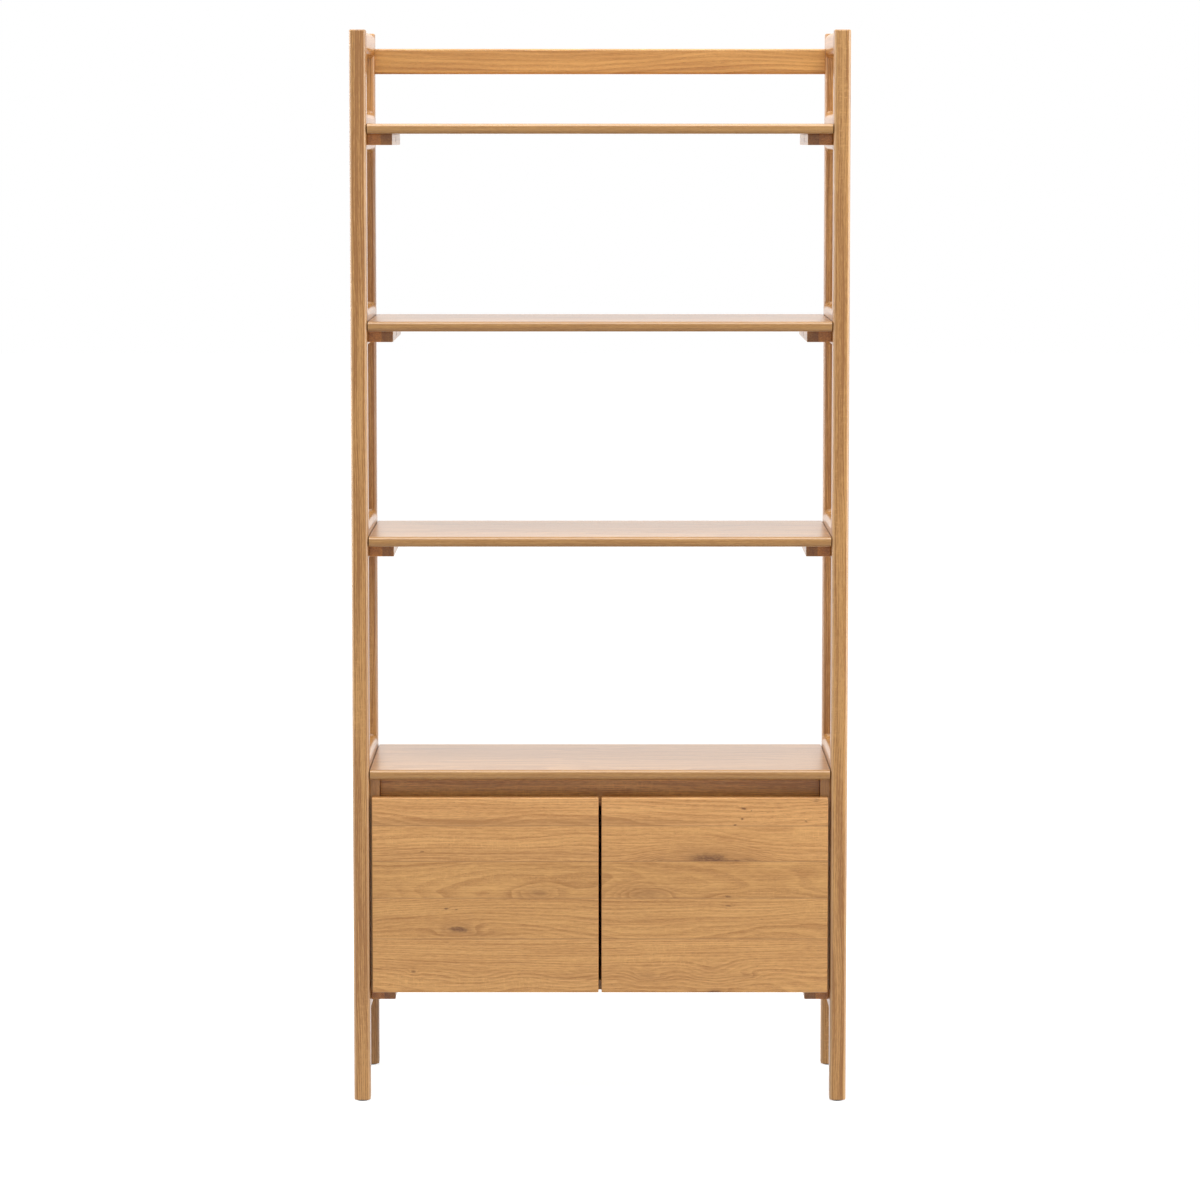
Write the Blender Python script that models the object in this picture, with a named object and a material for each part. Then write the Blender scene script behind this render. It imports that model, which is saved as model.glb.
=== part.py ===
# Oak open-shelf unit: two ladder sides of posts and rails, three shelves on battens,
# and a low cupboard with two doors on concealed hinges.
# Metres, +Z up. The front faces -Y. The origin is on the floor, under the middle of the unit.

import math

import bmesh
import bpy
from mathutils import Matrix, Vector

# Overall frame. The whole height is the sum of the heights from the floor up.
WIDTH = 0.900
DEPTH = 0.380
FIT = 0.0003              # gap between faces that touch
CUT_PAST = 0.005          # how far a cutter runs out past the face it opens
JOIN_LAP = 0.005          # how far a joined-on shape reaches into its piece
NEAR = 1e-6               # for picking edges by their place

# Facets of round shapes
PIN_STEPS = 12
HEAD_STEPS = 16
GLIDE_STEPS = 20
CUP_STEPS = 28
EDGE_STEPS = 3            # along the rounding of a post or rail
SMALL_EDGE_STEPS = 2
FRONT_EDGE_STEPS = 4      # along the rounded front of a board

# Posts
POST_W = 0.030            # along X
POST_D = 0.040            # along Y
POST_ROUND = 0.0045
POST_TOP_ROUND = 0.0025
POST_FOOT_CHAMFER = 0.0015

# Glides under the posts
GLIDE_H = 0.003
GLIDE_R = 0.011
GLIDE_PEG_R = 0.003
GLIDE_PEG_L = 0.010
GLIDE_EDGE = 0.001

# Side rails, front to back between the posts
RAIL_T = 0.027
RAIL_H = 0.065
RAIL_ROUND = 0.009
RAIL_FILLET = 0.010       # hollow where a rail swells out to meet a post
RAIL_SWELL = (20, 43, 67, 90)  # degrees around that hollow
TOP_RAIL_H = 0.038
TOP_RAIL_DROP = 0.002     # below the post tops
RAIL_ABOVE_BOARD = 0.018  # rail top above the shelf beside it
BASE_RAIL_ABOVE = 0.005   # base rail top above the cupboard floor

# Tenons of every rail
TENON_L = 0.020
TENON_T = 0.010
TENON_SHOULDER = 0.008
MORTISE_PLAY = 0.0003

# Cross rail between the rear posts
CROSS_RAIL_H = 0.047
CROSS_RAIL_T = 0.020
CROSS_RAIL_DROP = 0.028   # below the post tops
CROSS_RAIL_ROUND = 0.004
CROSS_TENON_L = 0.015

# Shelves
SHELF_T = 0.018
SHELF_RISES = {"lower": 0.4255, "middle": 0.3895, "upper": 0.355}  # above the board below
POSTS_ABOVE_SHELF = 0.168  # post tops above the upper shelf
SHELF_END_GAP = 0.0012
BOARD_FRONT_INSET = 0.002
BOARD_REAR_INSET = 0.003
BOARD_FRONT_ROUND = 0.005
BOARD_REAR_ROUND = 0.002

# Battens under the boards, each with two glued dowels and one bolt into its rail
BATTEN_W = 0.045
BATTEN_H = 0.020
BATTEN_FRONT = 0.038      # behind the front of the posts
BATTEN_EDGE = 0.001
DOWEL_R = 0.004
DOWEL_L = 0.012
DOWEL_PITCH = 0.200
BOLT_R = 0.003
BOLT_HEAD_R = 0.0055
BOLT_HEAD_H = 0.005
BOLT_SOCKET_R = 0.0025
BOLT_SOCKET_D = 0.003
BOLT_BITE = 0.016         # length of bolt inside the rail
BOLT_SINK = 0.008         # depth of the recess for its head
BOLT_HEAD_EDGE = 0.0005
BOLT_TIP = 0.001
HOLE_PLAY = 0.0003

# Cupboard
CUPBOARD_FLOOR = 0.222
CUPBOARD_RISE = 0.390     # from its floor to the top of its top board
CARCASS_T = 0.018
BACK_T = 0.006
BACK_INSET = 0.012
GROOVE_D = 0.006
FINGER_GAP = 0.0325       # between the doors and the top board
FINGER_RAIL_LAP = 0.0215  # how far the rail behind it reaches down behind the doors
FINGER_RAIL_T = 0.018
FINGER_DEPTH = 0.025      # clear depth behind the tops of the doors

# Doors
DOOR_T = 0.020
DOOR_FRONT_INSET = 0.0015
DOOR_BELOW_FLOOR = 0.0016 # door bottoms below the underside of the floor board
DOOR_SIDE_GAP = 0.0045
DOOR_MIDDLE_GAP = 0.005
DOOR_ROUND = 0.002
DOOR_CARCASS_GAP = 0.0022

# Hinges, in a plan frame: U inwards from the door's outer edge, V back from its front face
PIVOT_U = 0.007
PIVOT_V = 0.005
HINGE_FROM_END = 0.075
CUP_U = 0.0205
CUP_R = 0.0172
CUP_DEPTH = 0.012
CUP_WALL = 0.0009
EAR_HALF_U = 0.006
EAR_HALF_Z = 0.026
EAR_T = 0.001
EAR_ROUND = 0.0036
LINK_U = 0.0294
LINK_V = 0.0225
LINK_LENGTH = 0.0227
LINK_REST = 198.2         # degrees, its direction in plan with the door shut
LINK_BOW_ALONG = 0.74     # where the bow of the link is, as a part of its length
LINK_BOW = 0.01165
LINK_BOW_STEPS = 10
LINK_T = 0.0016
LINK_HALF_Z = 0.004
LINK_EYE_R = 0.0026
LINK_PIN_R = 0.0013
PIN_PLAY = 0.0003
CHEEK_T = 0.0022
CHEEK_BITE = 0.001        # how far the pin's ends reach into the cheeks
SLOT_BACK_U = 0.020       # outwards from the pin, the clear space for the link
ARM_WIDE_V = 0.025        # behind the pin, where the arm is widest
ARM_BACK_V = 0.084
ARM_BACK_SLANT = 0.012
ARM_FRONT_SLANT = 0.004
ARM_SEAT = 0.0005         # how far the arm sinks into its plate
PLATE_T = 0.002
PLATE_V = (0.036, 0.072)
PLATE_HALF_Z = 0.022
PLATE_ROUND = 0.004

# Places worked out from the sizes above
X_INNER = WIDTH / 2 - POST_W              # inner faces of posts and side rails
Y_FRONT = -DEPTH / 2
Y_REAR = DEPTH / 2
POST_BOTTOM = GLIDE_H + FIT
BOARD_Y = (Y_FRONT + BOARD_FRONT_INSET, Y_REAR - BOARD_REAR_INSET)
DOOR_FACE_Y = Y_FRONT + DOOR_FRONT_INSET
DOOR_OUTER_X = X_INNER - DOOR_SIDE_GAP
CARCASS_FRONT_Y = DOOR_FACE_Y + DOOR_T + DOOR_CARCASS_GAP
CARCASS_OUTER_X = X_INNER - FIT
CARCASS_INNER_X = CARCASS_OUTER_X - CARCASS_T
CUPBOARD_TOP = CUPBOARD_FLOOR + CUPBOARD_RISE
CUPBOARD_CEILING = CUPBOARD_TOP - SHELF_T
CUPBOARD_UNDERSIDE = CUPBOARD_FLOOR - CARCASS_T
DOOR_TOP = CUPBOARD_CEILING - FINGER_GAP
DOOR_BOTTOM = CUPBOARD_UNDERSIDE - DOOR_BELOW_FLOOR
SHELF_TOPS = {
    name: CUPBOARD_TOP + sum(list(SHELF_RISES.values())[: number + 1])
    for number, name in enumerate(SHELF_RISES)
}
HEIGHT = max(SHELF_TOPS.values()) + POSTS_ABOVE_SHELF
CROSS_RAIL_TOP = HEIGHT - CROSS_RAIL_DROP
BATTEN_Y = (Y_FRONT + BATTEN_FRONT, BOARD_Y[1])
RAIL_MID_X = X_INNER + RAIL_T / 2

SIDES = (("left", -1), ("right", 1))


# Materials

def make_material(name, colour, roughness, metallic=0.0):
    material = bpy.data.materials.new(name)
    material.use_nodes = True
    shader = material.node_tree.nodes["Principled BSDF"]
    shader.inputs["Base Color"].default_value = (*colour, 1.0)
    shader.inputs["Roughness"].default_value = roughness
    shader.inputs["Metallic"].default_value = metallic
    material.diffuse_color = (*colour, 1.0)
    return material


# Shapes

def new_object(name, bm, material=None, smooth_angle=35):
    """An object from a bmesh, with its normals outwards and its origin at the world's."""
    bmesh.ops.recalc_face_normals(bm, faces=bm.faces)
    mesh = bpy.data.meshes.new(name)
    bm.to_mesh(mesh)
    bm.free()
    mesh.shade_smooth()
    mesh.set_sharp_from_angle(angle=math.radians(smooth_angle))
    obj = bpy.data.objects.new(name, mesh)
    bpy.context.scene.collection.objects.link(obj)
    if material:
        mesh.materials.append(material)
    return obj


def box_mesh(low, high):
    """A box between two corners given in any order."""
    bm = bmesh.new()
    bmesh.ops.create_cube(bm, size=1)
    low, high = Vector(low), Vector(high)
    bmesh.ops.scale(bm, vec=high - low, verts=bm.verts)
    bmesh.ops.translate(bm, vec=(low + high) / 2, verts=bm.verts)
    return bm


def round_edges(bm, radius, segments, chosen=None):
    """Rounds the edges that chosen(edge) picks, or all of them."""
    edges = [edge for edge in bm.edges if chosen is None or chosen(edge)]
    bmesh.ops.bevel(
        bm, geom=edges, offset=radius, segments=segments, profile=0.5, affect="EDGES"
    )


def along(axis):
    """A test for edges that run along one axis."""

    def test(edge):
        run = edge.verts[1].co - edge.verts[0].co
        return abs(run[axis]) > 0.99 * run.length

    return test


def lies(place):
    """A test for edges whose two ends both pass place(point)."""
    return lambda edge: all(place(vert.co) for vert in edge.verts)


def prism_mesh(outline, start, end):
    """The outline, a loop of points, extruded by the vector from start to end."""
    bm = bmesh.new()
    face = bm.faces.new([bm.verts.new(Vector(point) + Vector(start)) for point in outline])
    grown = bmesh.ops.extrude_face_region(bm, geom=[face])
    moved = [item for item in grown["geom"] if isinstance(item, bmesh.types.BMVert)]
    bmesh.ops.translate(bm, vec=Vector(end) - Vector(start), verts=moved)
    return bm


def turned_mesh(profile, centre, direction, steps):
    """A profile of (radius, distance along the axis) pairs, turned about that axis."""
    bm = bmesh.new()
    rings = []
    for radius, distance in profile:
        if radius == 0:
            rings.append([bm.verts.new((0, 0, distance))])
            continue
        turns = [2 * math.pi * step / steps for step in range(steps)]
        rings.append(
            [bm.verts.new((radius * math.cos(a), radius * math.sin(a), distance)) for a in turns]
        )
    for lower, upper in zip(rings, rings[1:]):
        for i in range(steps):
            j = (i + 1) % steps
            corners = [lower[i % len(lower)], lower[j % len(lower)]]
            corners += [upper[j % len(upper)], upper[i % len(upper)]]
            bm.faces.new(list(dict.fromkeys(corners)))
    turn = Vector((0, 0, 1)).rotation_difference(Vector(direction)).to_matrix().to_4x4()
    bmesh.ops.transform(bm, matrix=Matrix.Translation(centre) @ turn, verts=bm.verts)
    return bm


def pin_mesh(radius, start, end, steps=PIN_STEPS):
    """A plain round pin between two points."""
    run = Vector(end) - Vector(start)
    profile = [(0, 0), (radius, 0), (radius, run.length), (0, run.length)]
    return turned_mesh(profile, start, run.normalized(), steps)


def combine(obj, tool_mesh, operation):
    """Cuts a tool's mesh from the object, or joins it on, with the tool kept as a hidden guide."""
    tool = new_object(f"{obj.name}.tool", tool_mesh)
    tool.hide_render = True
    tool.display_type = "WIRE"
    modifier = obj.modifiers.new(operation.title(), "BOOLEAN")
    modifier.operation = operation
    modifier.solver = "EXACT"
    modifier.object = tool


def cut(obj, tool_mesh):
    combine(obj, tool_mesh, "DIFFERENCE")


def join(obj, tool_mesh):
    combine(obj, tool_mesh, "UNION")


def rounded_outline(half_a, half_b, radius):
    """Points of a rectangle with round corners, as (a, b) pairs about its middle."""
    points = []
    for corner in range(4):
        middle_a = (half_a - radius) * (1 if corner in (0, 3) else -1)
        middle_b = (half_b - radius) * (1 if corner in (0, 1) else -1)
        for step in range(EDGE_STEPS + 1):
            angle = math.pi / 2 * (corner + step / EDGE_STEPS)
            points.append((middle_a + radius * math.cos(angle), middle_b + radius * math.sin(angle)))
    return points


# Levels of the side rails

def rail_levels():
    """Bottom, top and upper and lower fillets of each side rail, from the top down."""
    top = HEIGHT - TOP_RAIL_DROP
    levels = {"top": (top - TOP_RAIL_H, top, 0.0, RAIL_FILLET)}
    carried = [(name, height + RAIL_ABOVE_BOARD) for name, height in SHELF_TOPS.items()]
    carried.append(("cupboard_top", CUPBOARD_TOP + RAIL_ABOVE_BOARD))
    carried.append(("base", CUPBOARD_FLOOR + BASE_RAIL_ABOVE))
    for name, top in carried:
        levels[name] = (top - RAIL_H, top, RAIL_FILLET, RAIL_FILLET)
    return levels


def batten_tops():
    """Height of the top of each pair of battens, with the level of the rail that holds it."""
    tops = {name: height - SHELF_T - FIT for name, height in SHELF_TOPS.items()}
    tops["base"] = CUPBOARD_UNDERSIDE - FIT
    return tops


# Frame

def make_posts(wood):
    for side, sign in SIDES:
        for end, y in (("front", Y_FRONT + POST_D / 2), ("rear", Y_REAR - POST_D / 2)):
            make_post(f"{side}_{end}_post", sign, y, wood)


def make_post(name, sign, y, wood):
    x = sign * (WIDTH / 2 - POST_W / 2)
    half = Vector((POST_W / 2, POST_D / 2, 0))
    bm = box_mesh((-half.x, -half.y, POST_BOTTOM), (half.x, half.y, HEIGHT))
    round_edges(bm, POST_ROUND, EDGE_STEPS, along(2))
    round_edges(bm, POST_TOP_ROUND, SMALL_EDGE_STEPS, lies(lambda co: co.z > HEIGHT - NEAR))
    round_edges(bm, POST_FOOT_CHAMFER, 1, lies(lambda co: co.z < POST_BOTTOM + NEAR))
    post = new_object(name, bm, wood)
    post.location = (x, y, 0)
    inwards = -1 if y > 0 else 1
    mouth = y + inwards * POST_D / 2
    for bottom, top, _, _ in rail_levels().values():
        cut(post, mortise_mesh(sign, mouth, inwards, bottom, top))
    peg_hole = GLIDE_PEG_R + HOLE_PLAY
    cut(post, pin_mesh(peg_hole, (x, y, -CUT_PAST), (x, y, POST_BOTTOM + GLIDE_PEG_L)))
    if y > 0:
        cut(post, cross_tenon_mesh(sign, MORTISE_PLAY, X_INNER - CUT_PAST))
    return post


def mortise_mesh(sign, mouth, inwards, bottom, top):
    """The hole for one side rail's tenon, open through the face of the post."""
    half_t = TENON_T / 2 + MORTISE_PLAY
    middle = sign * RAIL_MID_X
    return box_mesh(
        (middle - half_t, mouth + inwards * CUT_PAST, bottom + TENON_SHOULDER - MORTISE_PLAY),
        (
            middle + half_t,
            mouth - inwards * (TENON_L + MORTISE_PLAY),
            top - TENON_SHOULDER + MORTISE_PLAY,
        ),
    )


def cross_tenon_mesh(sign, play, start_x):
    """One tenon of the rear cross rail, or with play, the hole for it."""
    y = Y_REAR - POST_D / 2
    half_t = TENON_T / 2 + play
    return box_mesh(
        (
            sign * start_x,
            y - half_t,
            CROSS_RAIL_TOP - CROSS_RAIL_H + TENON_SHOULDER - play,
        ),
        (
            sign * (X_INNER + CROSS_TENON_L + play),
            y + half_t,
            CROSS_RAIL_TOP - TENON_SHOULDER + play,
        ),
    )


def make_side_rails(wood):
    tops = batten_tops()
    for side, sign in SIDES:
        for level, (bottom, top, fillet_up, fillet_down) in rail_levels().items():
            name = f"{side}_{level}_rail"
            rail = make_side_rail(name, sign, bottom, top, (fillet_up, fillet_down), wood)
            if level in tops:
                cut_batten_holes(rail, sign, tops[level] - BATTEN_H / 2)


def make_side_rail(name, sign, bottom, top, fillets, wood):
    """A rounded bar, lofted through outlines that swell at the ends into small hollows."""
    reach = Y_REAR - POST_D - FIT
    angles = [math.radians(angle) for angle in RAIL_SWELL]
    stations = []
    for number, angle in enumerate(angles):
        inset = 0.0 if number == 0 else RAIL_FILLET * (1 - math.cos(angle))
        swell = 1 - math.sin(angle)
        blend = number / (len(angles) - 1)
        radius = POST_ROUND + (RAIL_ROUND - POST_ROUND) * blend
        stations.append((reach - inset, swell, radius))
    stations += [(-y, swell, radius) for y, swell, radius in reversed(stations)]
    bm = bmesh.new()
    rings = []
    for y, swell, radius in stations:
        high = top + fillets[0] * swell
        low = bottom - fillets[1] * swell
        middle_z = (high + low) / 2
        outline = rounded_outline(RAIL_T / 2, (high - low) / 2, radius)
        rings.append([bm.verts.new((sign * RAIL_MID_X + a, y, middle_z + b)) for a, b in outline])
    for near, far in zip(rings, rings[1:]):
        for i in range(len(near)):
            j = (i + 1) % len(near)
            bm.faces.new((near[i], near[j], far[j], far[i]))
    bm.faces.new(rings[0])
    bm.faces.new(rings[-1])
    rail = new_object(name, bm, wood)
    tenon_reach = Y_REAR - POST_D + TENON_L
    middle = sign * RAIL_MID_X
    low = (middle - TENON_T / 2, -tenon_reach, bottom + TENON_SHOULDER)
    high = (middle + TENON_T / 2, tenon_reach, top - TENON_SHOULDER)
    join(rail, box_mesh(low, high))
    return rail


def cut_batten_holes(rail, sign, z):
    start = sign * (X_INNER - CUT_PAST)
    for y in (-DOWEL_PITCH / 2, DOWEL_PITCH / 2):
        end = sign * (X_INNER + DOWEL_L + HOLE_PLAY)
        cut(rail, pin_mesh(DOWEL_R + HOLE_PLAY, (start, y, z), (end, y, z)))
    end = sign * (X_INNER + BOLT_BITE + HOLE_PLAY)
    cut(rail, pin_mesh(BOLT_R + HOLE_PLAY, (start, 0, z), (end, 0, z)))


def make_cross_rail(wood):
    y = Y_REAR - POST_D / 2
    reach = X_INNER - FIT
    half_t = CROSS_RAIL_T / 2
    bm = box_mesh(
        (-reach, y - half_t, CROSS_RAIL_TOP - CROSS_RAIL_H), (reach, y + half_t, CROSS_RAIL_TOP)
    )
    round_edges(bm, CROSS_RAIL_ROUND, EDGE_STEPS, along(0))
    rail = new_object("rear_cross_rail", bm, wood)
    for _, sign in SIDES:
        join(rail, cross_tenon_mesh(sign, 0.0, X_INNER - JOIN_LAP))


def make_glides(plastic):
    for side, sign in SIDES:
        for end, y in (("front", Y_FRONT + POST_D / 2), ("rear", Y_REAR - POST_D / 2)):
            profile = [
                (0, 0),
                (GLIDE_R - GLIDE_EDGE, 0),
                (GLIDE_R, GLIDE_EDGE),
                (GLIDE_R, GLIDE_H),
                (GLIDE_PEG_R, GLIDE_H),
                (GLIDE_PEG_R, GLIDE_H + GLIDE_PEG_L - GLIDE_EDGE),
                (0, GLIDE_H + GLIDE_PEG_L),
            ]
            body = turned_mesh(profile, (0, 0, 0), (0, 0, 1), GLIDE_STEPS)
            glide = new_object(f"{side}_{end}_glide", body, plastic)
            glide.location = (sign * (WIDTH / 2 - POST_W / 2), y, 0)


# Boards

def board_mesh(half_x, y_range, z_range):
    """A board whose long front and rear edges are rounded, extruded across the unit."""
    bm = box_mesh((-half_x, y_range[0], z_range[0]), (half_x, y_range[1], z_range[1]))
    runs_across = along(0)
    in_front = lies(lambda co: co.y < y_range[0] + NEAR)
    in_rear = lies(lambda co: co.y > y_range[1] - NEAR)
    round_edges(
        bm, BOARD_FRONT_ROUND, FRONT_EDGE_STEPS, lambda edge: runs_across(edge) and in_front(edge)
    )
    round_edges(
        bm, BOARD_REAR_ROUND, SMALL_EDGE_STEPS, lambda edge: runs_across(edge) and in_rear(edge)
    )
    return bm


def make_shelves(wood):
    half_x = X_INNER - SHELF_END_GAP
    for level, top in SHELF_TOPS.items():
        new_object(f"{level}_shelf", board_mesh(half_x, BOARD_Y, (top - SHELF_T, top)), wood)


def make_battens(wood, steel):
    for side, sign in SIDES:
        for level, top in batten_tops().items():
            make_batten(f"{side}_{level}_batten", sign, top, wood)
            make_bolt(f"{side}_{level}_bolt", sign, top - BATTEN_H / 2, steel)


def make_batten(name, sign, top, wood):
    outer = X_INNER - FIT
    inner = outer - BATTEN_W
    bm = box_mesh((sign * outer, BATTEN_Y[0], top - BATTEN_H), (sign * inner, BATTEN_Y[1], top))
    round_edges(bm, BATTEN_EDGE, 1)
    batten = new_object(name, bm, wood)
    z = top - BATTEN_H / 2
    for y in (-DOWEL_PITCH / 2, DOWEL_PITCH / 2):
        start = (sign * (outer - JOIN_LAP), y, z)
        join(batten, pin_mesh(DOWEL_R, start, (sign * (X_INNER + DOWEL_L), y, z)))
    mouth = (sign * (inner - CUT_PAST), 0, z)
    cut(batten, pin_mesh(BOLT_R + HOLE_PLAY, mouth, (sign * (outer + CUT_PAST), 0, z)))
    recess_end = (sign * (inner + BOLT_SINK), 0, z)
    cut(batten, pin_mesh(BOLT_HEAD_R + HOLE_PLAY, mouth, recess_end, HEAD_STEPS))


def make_bolt(name, sign, z, steel):
    """A socket-head bolt, head inwards, whose shank ends inside the rail."""
    seat = X_INNER - FIT - BATTEN_W + BOLT_SINK - FIT
    end = X_INNER + BOLT_BITE
    profile = [
        (0, BOLT_SOCKET_D),
        (BOLT_SOCKET_R, BOLT_SOCKET_D),
        (BOLT_SOCKET_R, 0),
        (BOLT_HEAD_R - BOLT_HEAD_EDGE, 0),
        (BOLT_HEAD_R, BOLT_HEAD_EDGE),
        (BOLT_HEAD_R, BOLT_HEAD_H),
        (BOLT_R, BOLT_HEAD_H),
        (BOLT_R, BOLT_HEAD_H + end - seat - BOLT_TIP),
        (0, BOLT_HEAD_H + end - seat),
    ]
    centre = (sign * (seat - BOLT_HEAD_H), 0, z)
    new_object(name, turned_mesh(profile, centre, (sign, 0, 0), PIN_STEPS), steel)


# Cupboard

def make_cupboard(wood):
    top = board_mesh(X_INNER - SHELF_END_GAP, BOARD_Y, (CUPBOARD_CEILING, CUPBOARD_TOP))
    new_object("cupboard_top", top, wood)
    floor_y = (CARCASS_FRONT_Y, BOARD_Y[1])
    floor = box_mesh(
        (-CARCASS_OUTER_X, floor_y[0], CUPBOARD_UNDERSIDE),
        (CARCASS_OUTER_X, floor_y[1], CUPBOARD_FLOOR),
    )
    new_object("cupboard_floor", floor, wood)
    back_y = (BOARD_Y[1] - BACK_INSET - BACK_T, BOARD_Y[1] - BACK_INSET)
    low_z = CUPBOARD_FLOOR + FIT
    high_z = CUPBOARD_CEILING - FIT
    for side, sign in SIDES:
        panel = new_object(
            f"cupboard_{side}_side",
            box_mesh(
                (sign * CARCASS_INNER_X, floor_y[0], low_z),
                (sign * CARCASS_OUTER_X, floor_y[1], high_z),
            ),
            wood,
        )
        groove = box_mesh(
            (sign * (CARCASS_INNER_X - CUT_PAST), back_y[0] - FIT, low_z - CUT_PAST),
            (sign * (CARCASS_INNER_X + GROOVE_D), back_y[1] + FIT, high_z + CUT_PAST),
        )
        cut(panel, groove)
    half_x = CARCASS_INNER_X + GROOVE_D - FIT
    back = box_mesh((-half_x, back_y[0], low_z), (half_x, back_y[1], high_z))
    new_object("cupboard_back", back, wood)
    rail_y = DOOR_FACE_Y + DOOR_T + FINGER_DEPTH
    rail = box_mesh(
        (-CARCASS_INNER_X + FIT, rail_y, DOOR_TOP - FINGER_RAIL_LAP),
        (CARCASS_INNER_X - FIT, rail_y + FINGER_RAIL_T, high_z),
    )
    new_object("finger_rail", rail, wood)


# Doors and their hinges

def hinge_heights():
    return {"upper": DOOR_TOP - HINGE_FROM_END, "lower": DOOR_BOTTOM + HINGE_FROM_END}


def make_door(side, sign, wood):
    """One glued door panel, its origin on the hinge axis."""
    axis = door_axis(sign)
    inner = DOOR_MIDDLE_GAP / 2
    low = Vector((sign * inner, DOOR_FACE_Y, DOOR_BOTTOM)) - axis
    high = Vector((sign * DOOR_OUTER_X, DOOR_FACE_Y + DOOR_T, DOOR_TOP)) - axis
    bm = box_mesh(low, high)
    round_edges(bm, DOOR_ROUND, SMALL_EDGE_STEPS)
    door = new_object(f"{side}_door", bm, wood)
    door.location = axis
    for z in hinge_heights().values():
        start = plan(sign, CUP_U, DOOR_T + CUT_PAST, z)
        end = plan(sign, CUP_U, DOOR_T - CUP_DEPTH - FIT, z)
        cut(door, pin_mesh(CUP_R + FIT, start, end, CUP_STEPS))
    return door


def door_axis(sign):
    return plan(sign, PIVOT_U, PIVOT_V, 0.0)


def plan(sign, u, v, z):
    """A point of a hinge's plan frame, in the world."""
    return Vector((sign * (DOOR_OUTER_X - u), DOOR_FACE_Y + v, z))


def make_hinges(metal):
    for side, sign in SIDES:
        for level, z in hinge_heights().items():
            name = f"{side}_{level}_hinge"
            make_cup(f"{name}_cup", sign, z, metal)
            make_link(f"{name}_link", sign, z, metal)
            make_arm(f"{name}_arm", sign, z, metal)


def make_cup(name, sign, z, metal):
    """A turned dish in the back of the door, with a plate for its two screws."""
    inner_r = CUP_R - CUP_WALL
    profile = [
        (0, -CUP_DEPTH),
        (CUP_R, -CUP_DEPTH),
        (CUP_R, 0),
        (inner_r, 0),
        (inner_r, CUP_WALL - CUP_DEPTH),
        (0, CUP_WALL - CUP_DEPTH),
    ]
    rim = plan(sign, CUP_U, DOOR_T, z)
    cup = new_object(name, turned_mesh(profile, rim, (0, 1, 0), CUP_STEPS), metal)
    ear = box_mesh(
        plan(sign, CUP_U - EAR_HALF_U, DOOR_T + FIT, z - EAR_HALF_Z),
        plan(sign, CUP_U + EAR_HALF_U, DOOR_T + FIT + EAR_T, z + EAR_HALF_Z),
    )
    round_edges(ear, EAR_ROUND, SMALL_EDGE_STEPS, along(1))
    join(cup, ear)
    collar_start = plan(sign, CUP_U, DOOR_T - CUP_WALL, z)
    join(cup, pin_mesh(CUP_R, collar_start, rim + Vector((0, FIT + EAR_T, 0)), CUP_STEPS))
    dish_floor = plan(sign, CUP_U, DOOR_T - CUP_DEPTH + CUP_WALL, z)
    cut(cup, pin_mesh(inner_r, dish_floor, rim + Vector((0, CUT_PAST, 0)), CUP_STEPS))


def link_outline(sign):
    """The bowed strap of the link in plan, as a closed loop."""
    angle = math.radians(LINK_REST)
    ahead = Vector((math.cos(angle), math.sin(angle)))
    aside = Vector((-ahead.y, ahead.x))
    start = Vector((LINK_U, LINK_V))
    end = start + LINK_LENGTH * ahead
    bow = start + LINK_LENGTH * LINK_BOW_ALONG * ahead + LINK_BOW * aside
    left, right = [], []
    for step in range(LINK_BOW_STEPS + 1):
        t = step / LINK_BOW_STEPS
        point = (1 - t) ** 2 * start + 2 * t * (1 - t) * bow + t ** 2 * end
        heading = (2 * (1 - t) * (bow - start) + 2 * t * (end - bow)).normalized()
        normal = Vector((-heading.y, heading.x)) * LINK_T / 2
        left.append(point + normal)
        right.append(point - normal)
    return [plan(sign, p.x, p.y, 0.0) for p in left + right[::-1]]


def make_link(name, sign, z, metal):
    """A bowed strap that turns on the arm's pin and reaches into the cup."""
    pin = plan(sign, LINK_U, LINK_V, 0.0)
    outline = [point - pin for point in link_outline(sign)]
    bm = prism_mesh(outline, (0, 0, z - LINK_HALF_Z), (0, 0, z + LINK_HALF_Z))
    link = new_object(name, bm, metal)
    link.location = pin
    low = pin + Vector((0, 0, z - LINK_HALF_Z))
    high = pin + Vector((0, 0, z + LINK_HALF_Z))
    join(link, pin_mesh(LINK_EYE_R, low, high, HEAD_STEPS))
    past = Vector((0, 0, CUT_PAST))
    cut(link, pin_mesh(LINK_PIN_R + PIN_PLAY, low - past, high + past, HEAD_STEPS))


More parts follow.
